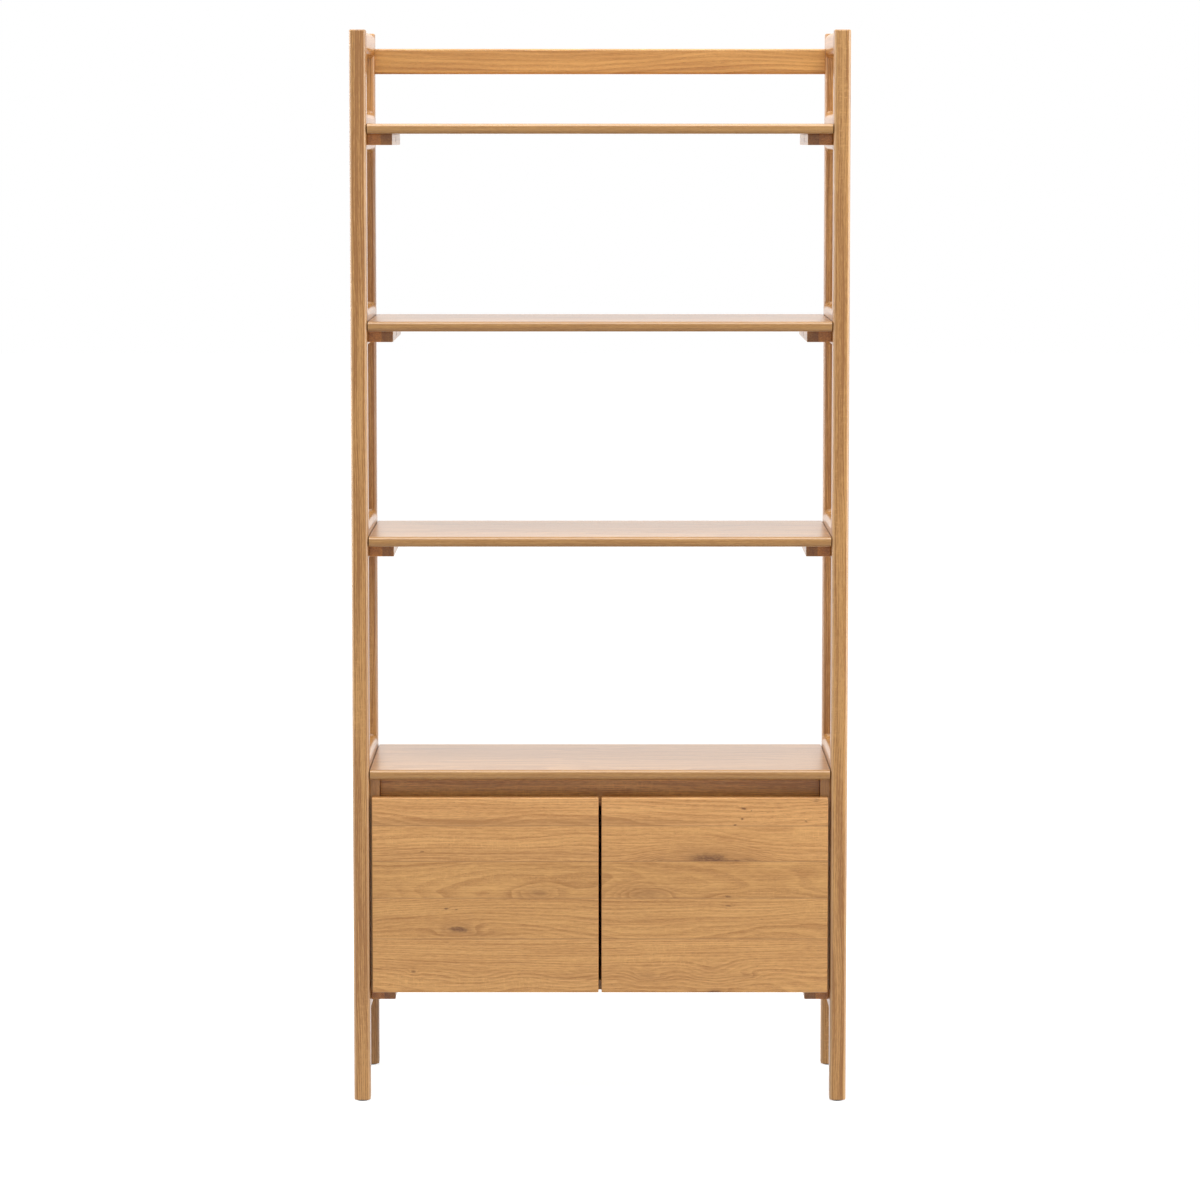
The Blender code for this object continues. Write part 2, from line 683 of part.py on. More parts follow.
def make_arm(name, sign, z, metal):
    """The fixed arm on its mounting plate, with two cheeks that hold the link's pin."""
    half_z = LINK_HALF_Z + PIN_PLAY + CHEEK_T
    nose = []
    for step in range(SMALL_EDGE_STEPS * 2 + 1):
        angle = math.pi * (1 + step / (SMALL_EDGE_STEPS * 2))
        nose.append((LINK_U + LINK_EYE_R * math.cos(angle), LINK_V + LINK_EYE_R * math.sin(angle)))
    foot_u = plate_u() + PLATE_T
    tail = [
        (LINK_U + LINK_EYE_R, LINK_V + ARM_WIDE_V),
        (LINK_U, ARM_BACK_V),
        (foot_u - ARM_SEAT, ARM_BACK_V - ARM_BACK_SLANT),
        (foot_u - ARM_SEAT, PLATE_V[0] + ARM_FRONT_SLANT),
    ]
    outline = [plan(sign, u, v, 0.0) for u, v in nose + tail]
    arm = new_object(name, prism_mesh(outline, (0, 0, z - half_z), (0, 0, z + half_z)), metal)
    slot_z = LINK_HALF_Z + PIN_PLAY
    slot_v = LINK_V + LINK_EYE_R + PIN_PLAY
    cut(
        arm,
        box_mesh(
            plan(sign, LINK_U - SLOT_BACK_U, LINK_V - LINK_EYE_R - CUT_PAST, z - slot_z),
            plan(sign, LINK_U + LINK_EYE_R + CUT_PAST, slot_v, z + slot_z),
        ),
    )
    low = plan(sign, LINK_U, LINK_V, z - slot_z - CHEEK_BITE)
    high = plan(sign, LINK_U, LINK_V, z + slot_z + CHEEK_BITE)
    join(arm, pin_mesh(LINK_PIN_R, low, high))
    plate = box_mesh(
        plan(sign, plate_u(), PLATE_V[0], z - PLATE_HALF_Z),
        plan(sign, foot_u, PLATE_V[1], z + PLATE_HALF_Z),
    )
    round_edges(plate, PLATE_ROUND, SMALL_EDGE_STEPS, along(0))
    join(arm, plate)


def plate_u():
    """Where the mounting plate's back is: a fit away from the cupboard side."""
    return DOOR_OUTER_X - CARCASS_INNER_X + FIT


def clear_scene():
    for obj in list(bpy.data.objects):
        bpy.data.objects.remove(obj, do_unlink=True)


def main():
    clear_scene()
    oak = make_material("oak", (0.54, 0.31, 0.13), 0.45)
    door_oak = make_material("door_oak", (0.58, 0.34, 0.15), 0.45)
    shelf_oak = make_material("shelf_oak", (0.62, 0.42, 0.24), 0.45)
    batten_oak = make_material("batten_oak", (0.36, 0.19, 0.09), 0.55)
    back_oak = make_material("back_oak", (0.45, 0.28, 0.14), 0.6)
    nickel = make_material("nickel", (0.62, 0.61, 0.58), 0.3, 1.0)
    steel = make_material("zinc_steel", (0.5, 0.5, 0.5), 0.35, 1.0)
    black = make_material("black_plastic", (0.02, 0.02, 0.02), 0.5)
    make_posts(oak)
    make_side_rails(oak)
    make_cross_rail(oak)
    make_glides(black)
    make_shelves(shelf_oak)
    make_battens(batten_oak, steel)
    make_cupboard(back_oak)
    for side, sign in SIDES:
        make_door(side, sign, door_oak)
    make_hinges(nickel)


main()
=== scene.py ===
# Oak open-shelf unit with a low two-door cupboard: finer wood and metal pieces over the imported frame.
# Metres, +Z up, the front faces -Y. Every finished piece keeps its object at the origin.

import math

import bpy
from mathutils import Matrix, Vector


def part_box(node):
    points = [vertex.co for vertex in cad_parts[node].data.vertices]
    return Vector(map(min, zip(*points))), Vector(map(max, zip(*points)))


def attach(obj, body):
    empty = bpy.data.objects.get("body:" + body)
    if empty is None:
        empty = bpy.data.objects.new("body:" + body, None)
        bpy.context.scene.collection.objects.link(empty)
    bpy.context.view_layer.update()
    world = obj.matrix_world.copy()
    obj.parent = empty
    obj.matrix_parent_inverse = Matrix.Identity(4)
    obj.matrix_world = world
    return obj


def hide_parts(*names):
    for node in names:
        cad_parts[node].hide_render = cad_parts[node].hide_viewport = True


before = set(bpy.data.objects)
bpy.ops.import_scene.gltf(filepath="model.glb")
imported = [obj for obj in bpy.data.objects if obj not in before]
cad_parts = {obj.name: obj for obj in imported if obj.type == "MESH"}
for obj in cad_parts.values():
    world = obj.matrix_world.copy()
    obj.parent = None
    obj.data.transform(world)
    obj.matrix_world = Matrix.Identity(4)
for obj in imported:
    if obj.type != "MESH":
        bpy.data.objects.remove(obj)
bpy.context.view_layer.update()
fixedBody = "shelf_frame"
sides = ("left", "right")
ends = ("front", "rear")
near = 1e-5                         # edges are picked by their place to within this
aligned = 0.99                      # cosine between an axis and an edge that counts as running along it
facing = 0.9                        # cosine between a direction and a face that counts as looking there
cutPast = 0.005                     # how far a cutter runs out past the face that it opens
joinLap = 0.001                     # how far a joined-on rod reaches into its piece
woodSharp, metalSharp = 40, 30      # degrees from which an edge stays sharp
print("frame loaded with", len(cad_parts), "pieces")


# Modelling helpers

def selectOnly(piece):
    bpy.ops.object.select_all(action="DESELECT")
    piece.select_set(True)
    bpy.context.view_layer.objects.active = piece


def settle(piece):
    # Moves the object's place, turn and size into its mesh
    selectOnly(piece)
    bpy.ops.object.transform_apply(location=True, rotation=True, scale=True)
    return piece


def middleOf(node):
    return [(a + b) / 2 for a, b in zip(*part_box(node))]


def nameAfter(piece, node):
    # left_front_post becomes leftFrontPost
    first, *others = node.split("_")
    piece.name = piece.data.name = first + "".join(word.title() for word in others)


def addBlock(node, low, high):
    low, high = Vector(low), Vector(high)
    bpy.ops.object.select_all(action="DESELECT")
    bpy.ops.mesh.primitive_cube_add(size=1, location=(low + high) / 2)
    block = bpy.context.object
    nameAfter(block, node)
    block.scale = [abs(value) for value in high - low]
    return settle(block)


def turnUpTo(piece, direction):
    piece.rotation_mode = "QUATERNION"
    piece.rotation_quaternion = Vector((0, 0, 1)).rotation_difference(direction)


def addRod(node, radius, start, end, facets):
    start, end = Vector(start), Vector(end)
    run = end - start
    bpy.ops.object.select_all(action="DESELECT")
    bpy.ops.mesh.primitive_cylinder_add(
        vertices=facets, radius=radius, depth=run.length, location=(start + end) / 2
    )
    rod = bpy.context.object
    nameAfter(rod, node)
    turnUpTo(rod, run.normalized())
    return settle(rod)


def editParts(piece, kind, wanted):
    # Opens the piece for editing with only the wanted edges or faces selected
    selectOnly(piece)
    bpy.ops.object.mode_set(mode="EDIT")
    bpy.ops.mesh.select_mode(type=kind)
    bpy.ops.mesh.select_all(action="DESELECT")
    bpy.ops.object.mode_set(mode="OBJECT")
    mesh = piece.data
    if kind == "EDGE":
        for edge in mesh.edges:
            edge.select = wanted(*[mesh.vertices[number].co for number in edge.vertices])
    else:
        for face in mesh.polygons:
            face.select = wanted(face.center, face.normal)
    bpy.ops.object.mode_set(mode="EDIT")


def roundEdges(piece, radius, steps, wanted):
    editParts(piece, "EDGE", wanted)
    bpy.ops.mesh.bevel(offset=radius, segments=steps, profile=0.5, affect="EDGES", clamp_overlap=True)
    bpy.ops.object.mode_set(mode="OBJECT")


# Edges for roundEdges, by the places of their two ends. Axes are 0, 1 and 2 for X, Y and Z.

def everyEdge(a, b):
    return True


def runsAlong(axis):
    return lambda a, b: abs((a - b)[axis]) > aligned * (a - b).length


def atHighEnd(axis, level):
    return lambda a, b: min(a[axis], b[axis]) > level - near


def atLowEnd(axis, level):
    return lambda a, b: max(a[axis], b[axis]) < level + near


def both(first, second):
    return lambda a, b: first(a, b) and second(a, b)


def applyBoolean(piece, operation, tool):
    modifier = piece.modifiers.new("boolean", "BOOLEAN")
    modifier.operation = operation
    modifier.solver = "EXACT"
    modifier.object = tool
    selectOnly(piece)
    bpy.ops.object.modifier_apply(modifier=modifier.name)
    bpy.data.objects.remove(tool)


def cutAway(piece, tool):
    applyBoolean(piece, "DIFFERENCE", tool)


def uniteWith(piece, others):
    for other in others:
        applyBoolean(piece, "UNION", other)


def trimBeyond(piece, point, outward):
    # Cuts off what lies beyond the plane and closes the cut
    selectOnly(piece)
    bpy.ops.object.mode_set(mode="EDIT")
    bpy.ops.mesh.select_all(action="SELECT")
    bpy.ops.mesh.bisect(plane_co=point, plane_no=outward, use_fill=True, clear_outer=True)
    bpy.ops.object.mode_set(mode="OBJECT")


def joinTo(piece, others):
    selectOnly(piece)
    for other in others:
        other.select_set(True)
    bpy.ops.object.join()
    return piece


def duplicateOf(piece, node):
    selectOnly(piece)
    bpy.ops.object.duplicate(linked=False)
    twin = bpy.context.object
    nameAfter(twin, node)
    return twin


def copyBy(piece, node, offset):
    twin = duplicateOf(piece, node)
    bpy.ops.transform.translate(value=offset)
    return settle(twin)


def copyTo(node, piece, model):
    # The piece stands at the model's node, and its copy at the other
    return copyBy(piece, node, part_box(node)[0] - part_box(model)[0])


def mirrorCopy(piece, node):
    # The same piece for the other side of the unit
    twin = duplicateOf(piece, node)
    twin.scale.x = -1
    settle(twin)
    bpy.ops.object.mode_set(mode="EDIT")
    bpy.ops.mesh.select_all(action="SELECT")
    bpy.ops.mesh.normals_make_consistent(inside=False)
    bpy.ops.object.mode_set(mode="OBJECT")
    return twin


def finishPiece(piece, node, material, body=fixedBody, sharpAngle=woodSharp):
    selectOnly(piece)
    bpy.ops.object.shade_smooth_by_angle(angle=math.radians(sharpAngle))
    even = piece.modifiers.new("evenFaces", "WEIGHTED_NORMAL")
    even.keep_sharp = True
    bpy.ops.object.modifier_apply(modifier=even.name)
    piece.data.materials.clear()
    piece.data.materials.append(material)
    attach(piece, body)
    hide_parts(node)


# Shader helpers

def addNode(tree, kind, values=None, **settings):
    node = tree.nodes.new(kind)
    for name, setting in settings.items():
        setattr(node, name, setting)
    for socket, value in (values or {}).items():
        feed(tree, node.inputs[socket], value)
    return node


def feed(tree, socket, value):
    if isinstance(value, bpy.types.NodeSocket):
        tree.links.new(value, socket)
    else:
        socket.default_value = value


def calc(tree, operation, *values, clamp=False):
    node = addNode(tree, "ShaderNodeMath", dict(enumerate(values)), operation=operation, use_clamp=clamp)
    return node.outputs[0]


def vectorMath(tree, operation, *values, output="Vector"):
    node = addNode(tree, "ShaderNodeVectorMath", dict(enumerate(values)), operation=operation)
    return node.outputs[output]


def mapRange(tree, value, low, high, toLow=0.0, toHigh=1.0, kind="SMOOTHSTEP"):
    values = {"Value": value, "From Min": low, "From Max": high, "To Min": toLow, "To Max": toHigh}
    return addNode(tree, "ShaderNodeMapRange", values, interpolation_type=kind).outputs["Result"]


def combine(tree, x, y, z):
    return addNode(tree, "ShaderNodeCombineXYZ", {"X": x, "Y": y, "Z": z}).outputs["Vector"]


def split(tree, vector):
    return addNode(tree, "ShaderNodeSeparateXYZ", {"Vector": vector}).outputs


def noise(tree, vector, waves, detail=2.0, roughness=0.5, output="Fac"):
    # Waves are the pattern's waves per metre along each axis
    place = vectorMath(tree, "MULTIPLY", vector, waves)
    values = {"Vector": place, "Scale": 1.0, "Detail": detail, "Roughness": roughness}
    return addNode(tree, "ShaderNodeTexNoise", values).outputs[output]


def swing(tree, vector, waves, detail=2.0, roughness=0.5):
    # The same noise, to either side of zero
    return calc(tree, "SUBTRACT", noise(tree, vector, waves, detail, roughness), 0.5)


def whiteNoise(tree, value, output):
    return addNode(tree, "ShaderNodeTexWhiteNoise", {"W": value}, noise_dimensions="1D").outputs[output]


def opaque(colour):
    return (*colour, 1)


def mixColours(tree, factor, a, b, blend="MIX"):
    node = addNode(tree, "ShaderNodeMix", {0: factor, 6: a, 7: b}, data_type="RGBA", blend_type=blend)
    return node.outputs[2]


def newGroup(name, inputs, outputs):
    tree = bpy.data.node_groups.new(name, "ShaderNodeTree")
    kinds = {"f": "NodeSocketFloat", "v": "NodeSocketVector", "c": "NodeSocketColor"}
    for label, kind in inputs:
        tree.interface.new_socket(name=label, in_out="INPUT", socket_type=kinds[kind])
    for label, kind in outputs:
        tree.interface.new_socket(name=label, in_out="OUTPUT", socket_type=kinds[kind])
    source = tree.nodes.new("NodeGroupInput")
    target = tree.nodes.new("NodeGroupOutput")
    return tree, source.outputs, target.inputs


def newMaterial(name):
    material = bpy.data.materials.new(name)
    material.use_nodes = True
    tree = material.node_tree
    return material, tree, tree.nodes["Principled BSDF"]


def addBump(tree, shader, height, depth, strength):
    bump = addNode(tree, "ShaderNodeBump", {"Height": height, "Distance": depth, "Strength": strength})
    feed(tree, shader.inputs["Normal"], bump.outputs["Normal"])


# Oak grain: growth rings round a pith that lies off the board, with fibres, pores and rays.
# The vector's X runs along the grain, Y across the board's face, Z through its thickness.

grain = {
    "seedShift": (7.0, 3.0, 3.0),       # how far a seed can move the pattern
    "pithAside": 0.11,                  # how far the pith can lie to either side
    "pithBehind": (0.020, 0.065),       # and behind the face

    # Patterns: waves per metre along and across the grain, detail, roughness
    "sway": (2.2, 8.0, 1.5, 0.5),       # bends the rings into flames
    "ripple": (14.0, 70.0, 2.0, 0.5),   # makes them unsteady
    "patch": (2.2, 22.0, 2.0, 0.5),
    "band": (3.0, 120.0, 2.0, 0.5),
    "streak": (7.0, 380.0, 3.0, 0.6),
    "fibre": (40.0, 1500.0, 2.0, 0.6),
    "dash": (65.0, 560.0, 2.0, 0.65),
    "fleck": (330.0, 80.0, 2.0, 0.5),   # rays that cross the grain
    "hollow": (170.0, 2300.0, 1.0, 0.5),

    # Where a pattern or a part of a ring sets in, and where it is full
    "rippleWidth": 0.0016,
    "ringDarkens": (0.05, 0.85),
    "ringEnds": (0.88, 1.0),
    "palestRing": 0.35,
    "fleckRange": (0.50, 0.72),
    "fleckPatch": (0.0, 0.16),
    "hollowRange": (0.60, 0.70),
    "poreByRing": (0.0, 0.6, 0.25, 1.0),

    # What each pattern adds to the tone
    "ringTone": -0.40,
    "patchTone": 0.75,
    "bandTone": 1.0,
    "fibreTone": 0.60,
    "streakTone": 1.10,
    "dashTone": 1.00,
    "fleckTone": 0.18,
    "middleTone": 0.66,
    "poreCover": 0.5,
    "blueSpread": 1.6,                  # a darker board is also this much yellower

    # Gloss and relief
    "roughness": 0.29,
    "streakRoughness": -0.06,
    "poreRoughness": 0.04,
    "fibreHeight": 0.7,
    "hollowHeight": -0.4,
}


def makeOakGroup():
    tree, given, result = newGroup(
        "oakGrain",
        [
            ("Vector", "v"), ("Seed", "f"), ("Centre", "f"), ("Ring Width", "f"), ("Flame", "f"),
            ("Warp", "f"), ("Coarse", "f"), ("Fine", "f"), ("Contrast", "f"), ("Tone Spread", "f"),
            ("Light Wood", "c"), ("Dark Wood", "c"), ("Pore Colour", "c"),
        ],
        [("Color", "c"), ("Roughness", "f"), ("Height", "f")],
    )
    chance = whiteNoise(tree, given["Seed"], "Color")
    picks = addNode(tree, "ShaderNodeSeparateColor", {"Color": chance}).outputs
    place = vectorMath(tree, "MULTIPLY_ADD", chance, grain["seedShift"], given["Vector"])

    def pattern(name, point=place):
        along, across, detail, roughness = grain[name]
        return tree, point, (along, across, across), detail, roughness

    def weigh(value, name, base=0.0):
        return calc(tree, "MULTIPLY_ADD", value, grain[name], base)

    # Rings, by their distance from the pith
    axes = split(tree, given["Vector"])
    reach = grain["pithAside"]
    pithY = calc(tree, "ADD", given["Centre"], mapRange(tree, picks["Red"], 0, 1, -reach, reach, "LINEAR"))
    pithZ = mapRange(tree, picks["Green"], 0, 1, *grain["pithBehind"], "LINEAR")
    offY = calc(tree, "SUBTRACT", axes["Y"], pithY)
    offZ = calc(tree, "ADD", axes["Z"], pithZ)
    distance = vectorMath(tree, "LENGTH", combine(tree, offY, offZ, 0.0), output="Value")
    bend = calc(tree, "MULTIPLY_ADD", swing(*pattern("sway")), given["Flame"], given["Warp"])
    radius = weigh(swing(*pattern("ripple")), "rippleWidth", calc(tree, "ADD", distance, bend))
    phase = calc(tree, "DIVIDE", radius, given["Ring Width"])
    part = calc(tree, "FRACT", phase)
    darker = mapRange(tree, part, *grain["ringDarkens"])
    ring = calc(tree, "MULTIPLY", darker, mapRange(tree, part, *grain["ringEnds"], 1.0, 0.0))
    year = whiteNoise(tree, calc(tree, "FLOOR", phase), "Value")
    ring = calc(tree, "MULTIPLY", ring, mapRange(tree, year, 0, 1, grain["palestRing"], 1.0, "LINEAR"))

    # Streaks and dashes follow the rings round a knot
    aside = calc(tree, "MULTIPLY", bend, calc(tree, "DIVIDE", offY, distance))
    bent = vectorMath(tree, "ADD", place, combine(tree, 0.0, aside, 0.0))
    streak, dash = swing(*pattern("streak", bent)), swing(*pattern("dash", bent))
    patch, band, fibre = [swing(*pattern(name)) for name in ("patch", "band", "fibre")]
    fleck = mapRange(tree, noise(*pattern("fleck")), *grain["fleckRange"])
    fleck = calc(tree, "MULTIPLY", fleck, mapRange(tree, patch, *grain["fleckPatch"]))
    hollow = mapRange(tree, noise(*pattern("hollow")), *grain["hollowRange"])
    pore = calc(tree, "MULTIPLY", hollow, mapRange(tree, ring, *grain["poreByRing"]))

    broad = weigh(patch, "patchTone", weigh(band, "bandTone"))
    tone = calc(tree, "MULTIPLY_ADD", broad, given["Coarse"], weigh(ring, "ringTone"))
    lines = weigh(fibre, "fibreTone", weigh(streak, "streakTone", weigh(dash, "dashTone")))
    tone = calc(tree, "MULTIPLY_ADD", lines, given["Fine"], tone)
    tone = weigh(fleck, "fleckTone", tone)
    lightness = calc(tree, "MULTIPLY_ADD", tone, given["Contrast"], grain["middleTone"], clamp=True)
    colour = mixColours(tree, lightness, given["Dark Wood"], given["Light Wood"])
    colour = mixColours(tree, weigh(pore, "poreCover"), colour, given["Pore Colour"])
    offTone = calc(tree, "MULTIPLY", calc(tree, "SUBTRACT", picks["Blue"], 0.5), given["Tone Spread"])
    brightness = calc(tree, "ADD", 1.0, offTone)
    blueness = weigh(offTone, "blueSpread", 1.0)
    shade = combine(tree, brightness, brightness, blueness)
    feed(tree, result["Color"], mixColours(tree, 1.0, colour, shade, "MULTIPLY"))
    rough = weigh(streak, "streakRoughness", grain["roughness"])
    feed(tree, result["Roughness"], weigh(pore, "poreRoughness", rough))
    # The rings stay out of the height, because a bump works out all that is behind it three times
    feed(tree, result["Height"], weigh(hollow, "hollowHeight", weigh(fibre, "fibreHeight")))
    return tree


# Glued staves: which stave a point lies in, its middle, and the fine dark glue line between two

glueFade = (0.0004, 0.0011)     # from the joint, where the line starts to fade and where it ends


def makeStaveGroup():
    joints = ["Joint 1", "Joint 2", "Joint 3", "Joint 4"]
    tree, given, result = newGroup(
        "gluedStaves",
        [("Place", "f"), ("Low", "f")] + [(name, "f") for name in joints] + [("High", "f")],
        [("Index", "f"), ("Centre", "f"), ("Glue Line", "f")],
    )
    bounds = [given["Low"]] + [given[name] for name in joints] + [given["High"]]
    middles = [calc(tree, "MULTIPLY", calc(tree, "ADD", a, b), 0.5) for a, b in zip(bounds, bounds[1:])]
    index, centre, line = 0.0, middles[0], 0.0
    for number, name in enumerate(joints):
        past = calc(tree, "GREATER_THAN", given["Place"], given[name])
        index = calc(tree, "ADD", index, past)
        step = calc(tree, "SUBTRACT", middles[number + 1], middles[number])
        centre = calc(tree, "MULTIPLY_ADD", past, step, centre)
        away = calc(tree, "ABSOLUTE", calc(tree, "SUBTRACT", given["Place"], given[name]))
        line = calc(tree, "MAXIMUM", line, mapRange(tree, away, *glueFade, 1.0, 0.0))
    feed(tree, result["Index"], index)
    feed(tree, result["Centre"], centre)
    feed(tree, result["Glue Line"], line)
    return tree


# A knot or a swirl of the grain: it bends the rings round itself, may have a dark heart and a warm
# halo, and stops at the glue lines of its own stave. Marks holds the bend, heart and halo so far.

knot = {
    "spread": -0.22,            # how fast the bend and the halo die away
    "raggedness": 0.9,
    "heartFade": (0.40, 1.30),  # in half breadths, where the heart starts to fade and where it ends
}


def makeKnotGroup():
    tree, given, result = newGroup(
        "knot",
        [
            ("Marks", "v"), ("Vector", "v"), ("Wobble", "f"), ("Stave", "f"), ("Own Stave", "f"),
            ("Middle", "v"), ("Length", "f"), ("Breadth", "f"), ("Bend", "f"), ("Heart", "f"), ("Halo", "f"),
        ],
        [("Marks", "v")],
    )
    soFar = split(tree, given["Marks"])
    away = split(tree, vectorMath(tree, "SUBTRACT", given["Vector"], given["Middle"]))
    along = calc(tree, "DIVIDE", away["X"], given["Length"])
    across = calc(tree, "DIVIDE", away["Y"], given["Breadth"])
    square = calc(tree, "MULTIPLY_ADD", along, along, calc(tree, "MULTIPLY", across, across))
    within = calc(tree, "COMPARE", given["Stave"], given["Own Stave"], 0.5)
    spread = calc(tree, "EXPONENT", calc(tree, "MULTIPLY", square, knot["spread"]))
    spread = calc(tree, "MULTIPLY", spread, within)
    ragged = calc(tree, "MULTIPLY_ADD", given["Wobble"], knot["raggedness"], calc(tree, "SQRT", square))
    heart = calc(tree, "MULTIPLY", mapRange(tree, ragged, *knot["heartFade"], 1.0, 0.0), given["Heart"])
    heart = calc(tree, "MULTIPLY", heart, within)
    feed(tree, result["Marks"], combine(
        tree,
        calc(tree, "MULTIPLY_ADD", spread, given["Bend"], soFar["X"]),
        calc(tree, "MAXIMUM", heart, soFar["Y"]),
        calc(tree, "MAXIMUM", calc(tree, "MULTIPLY", spread, given["Halo"]), soFar["Z"]),
    ))
    return tree


# Painted highlight on rounded edges: 1 on a rounding, 0 on a flat face; upwards only where the underside
# stays in the shade

edgeHighlight = {
    "wobble": 0.06,
    "squareness": (0.80, 0.985),    # the largest part of the normal, on a rounding and on a flat face
    "upwards": (0.05, 0.45),        # how far up the normal points, from unlit to fully highlighted
}


def makeEdgeHighlightGroup():
    tree, given, result = newGroup(
        "paintedEdgeHighlight", [("Normal", "v"), ("Upwards", "f"), ("Wobble", "f")], [("Mask", "f")]
    )
    normal = split(tree, given["Normal"])
    x, y, z = [calc(tree, "ABSOLUTE", normal[axis]) for axis in "XYZ"]
    squarest = calc(tree, "MAXIMUM", calc(tree, "MAXIMUM", x, y), z)
    squarest = calc(tree, "MULTIPLY_ADD", given["Wobble"], edgeHighlight["wobble"], squarest)
    worn = mapRange(tree, squarest, *edgeHighlight["squareness"], 1.0, 0.0)
    anyWay = calc(tree, "SUBTRACT", 1.0, given["Upwards"])
    up = calc(tree, "MAXIMUM", mapRange(tree, normal["Z"], *edgeHighlight["upwards"]), anyWay)
    feed(tree, result["Mask"], calc(tree, "MULTIPLY", worn, up))
    return tree


oakGroup = makeOakGroup()
edgeHighlightGroup = makeEdgeHighlightGroup()
staveGroup = makeStaveGroup()
knotGroup = makeKnotGroup()

wood = {
    "light": (0.780, 0.430, 0.160),
    "dark": (0.450, 0.200, 0.056),
    "pore": (0.170, 0.075, 0.025),
    "knotHeart": (0.120, 0.036, 0.005),
    "knotHalo": (0.450, 0.215, 0.066),
    "glueLine": (0.300, 0.140, 0.050),
    "glueCover": 0.55,
    "endGrain": (0.62, 0.50, 0.42),         # an end face is this much darker
    "endFacing": (0.75, 0.95),              # how squarely a face must look along the grain to be one
    "worn": (0.860, 0.600, 0.360),          # painted highlight: a paler tone on the roundings, where light catches them
    "highlightWaves": (12.0, 90.0, 90.0),
    "bumpDepth": 0.0003,
    "seedPerStave": 1.37,
    "knotWaves": (95.0, 200.0, 60.0),       # raggedness of the hearts
    "driftWaves": (18.0, 60.0, 20.0),       # slow drift of the place, so that no knot is a true oval
    "drift": (0.030, 0.009, 0.0),
    "heartWaves": (160.0, 1100.0, 60.0),    # streaks through the hearts
    "heartStreaks": (0.35, 0.60, 0.45, 1.0),
    "ringsByKnot": 1.2,                     # rings show more round a knot
}


def addKnots(tree, vector, stave, knots):
    wobble = swing(tree, vector, wood["knotWaves"])
    drift = noise(tree, vector, wood["driftWaves"], output="Color")
    drift = vectorMath(tree, "SUBTRACT", drift, (0.5, 0.5, 0.5))
    drift = vectorMath(tree, "MULTIPLY_ADD", drift, wood["drift"], vector)
    marks = (0.0, 0.0, 0.0)
    for ownStave, along, across, length, breadth, bend, dark, warm in knots:
        marks = addNode(tree, "ShaderNodeGroup", {
            "Marks": marks, "Vector": drift, "Wobble": wobble, "Stave": stave, "Own Stave": ownStave,
            "Middle": (along, across, 0.0), "Length": length, "Breadth": breadth,
            "Bend": bend, "Heart": dark, "Halo": warm,
        }, node_tree=knotGroup).outputs["Marks"]
    warp, heart, halo = split(tree, marks)
    streaks = mapRange(tree, noise(tree, drift, wood["heartWaves"], 3.0), *wood["heartStreaks"])
    return warp, calc(tree, "MULTIPLY", heart, streaks), halo


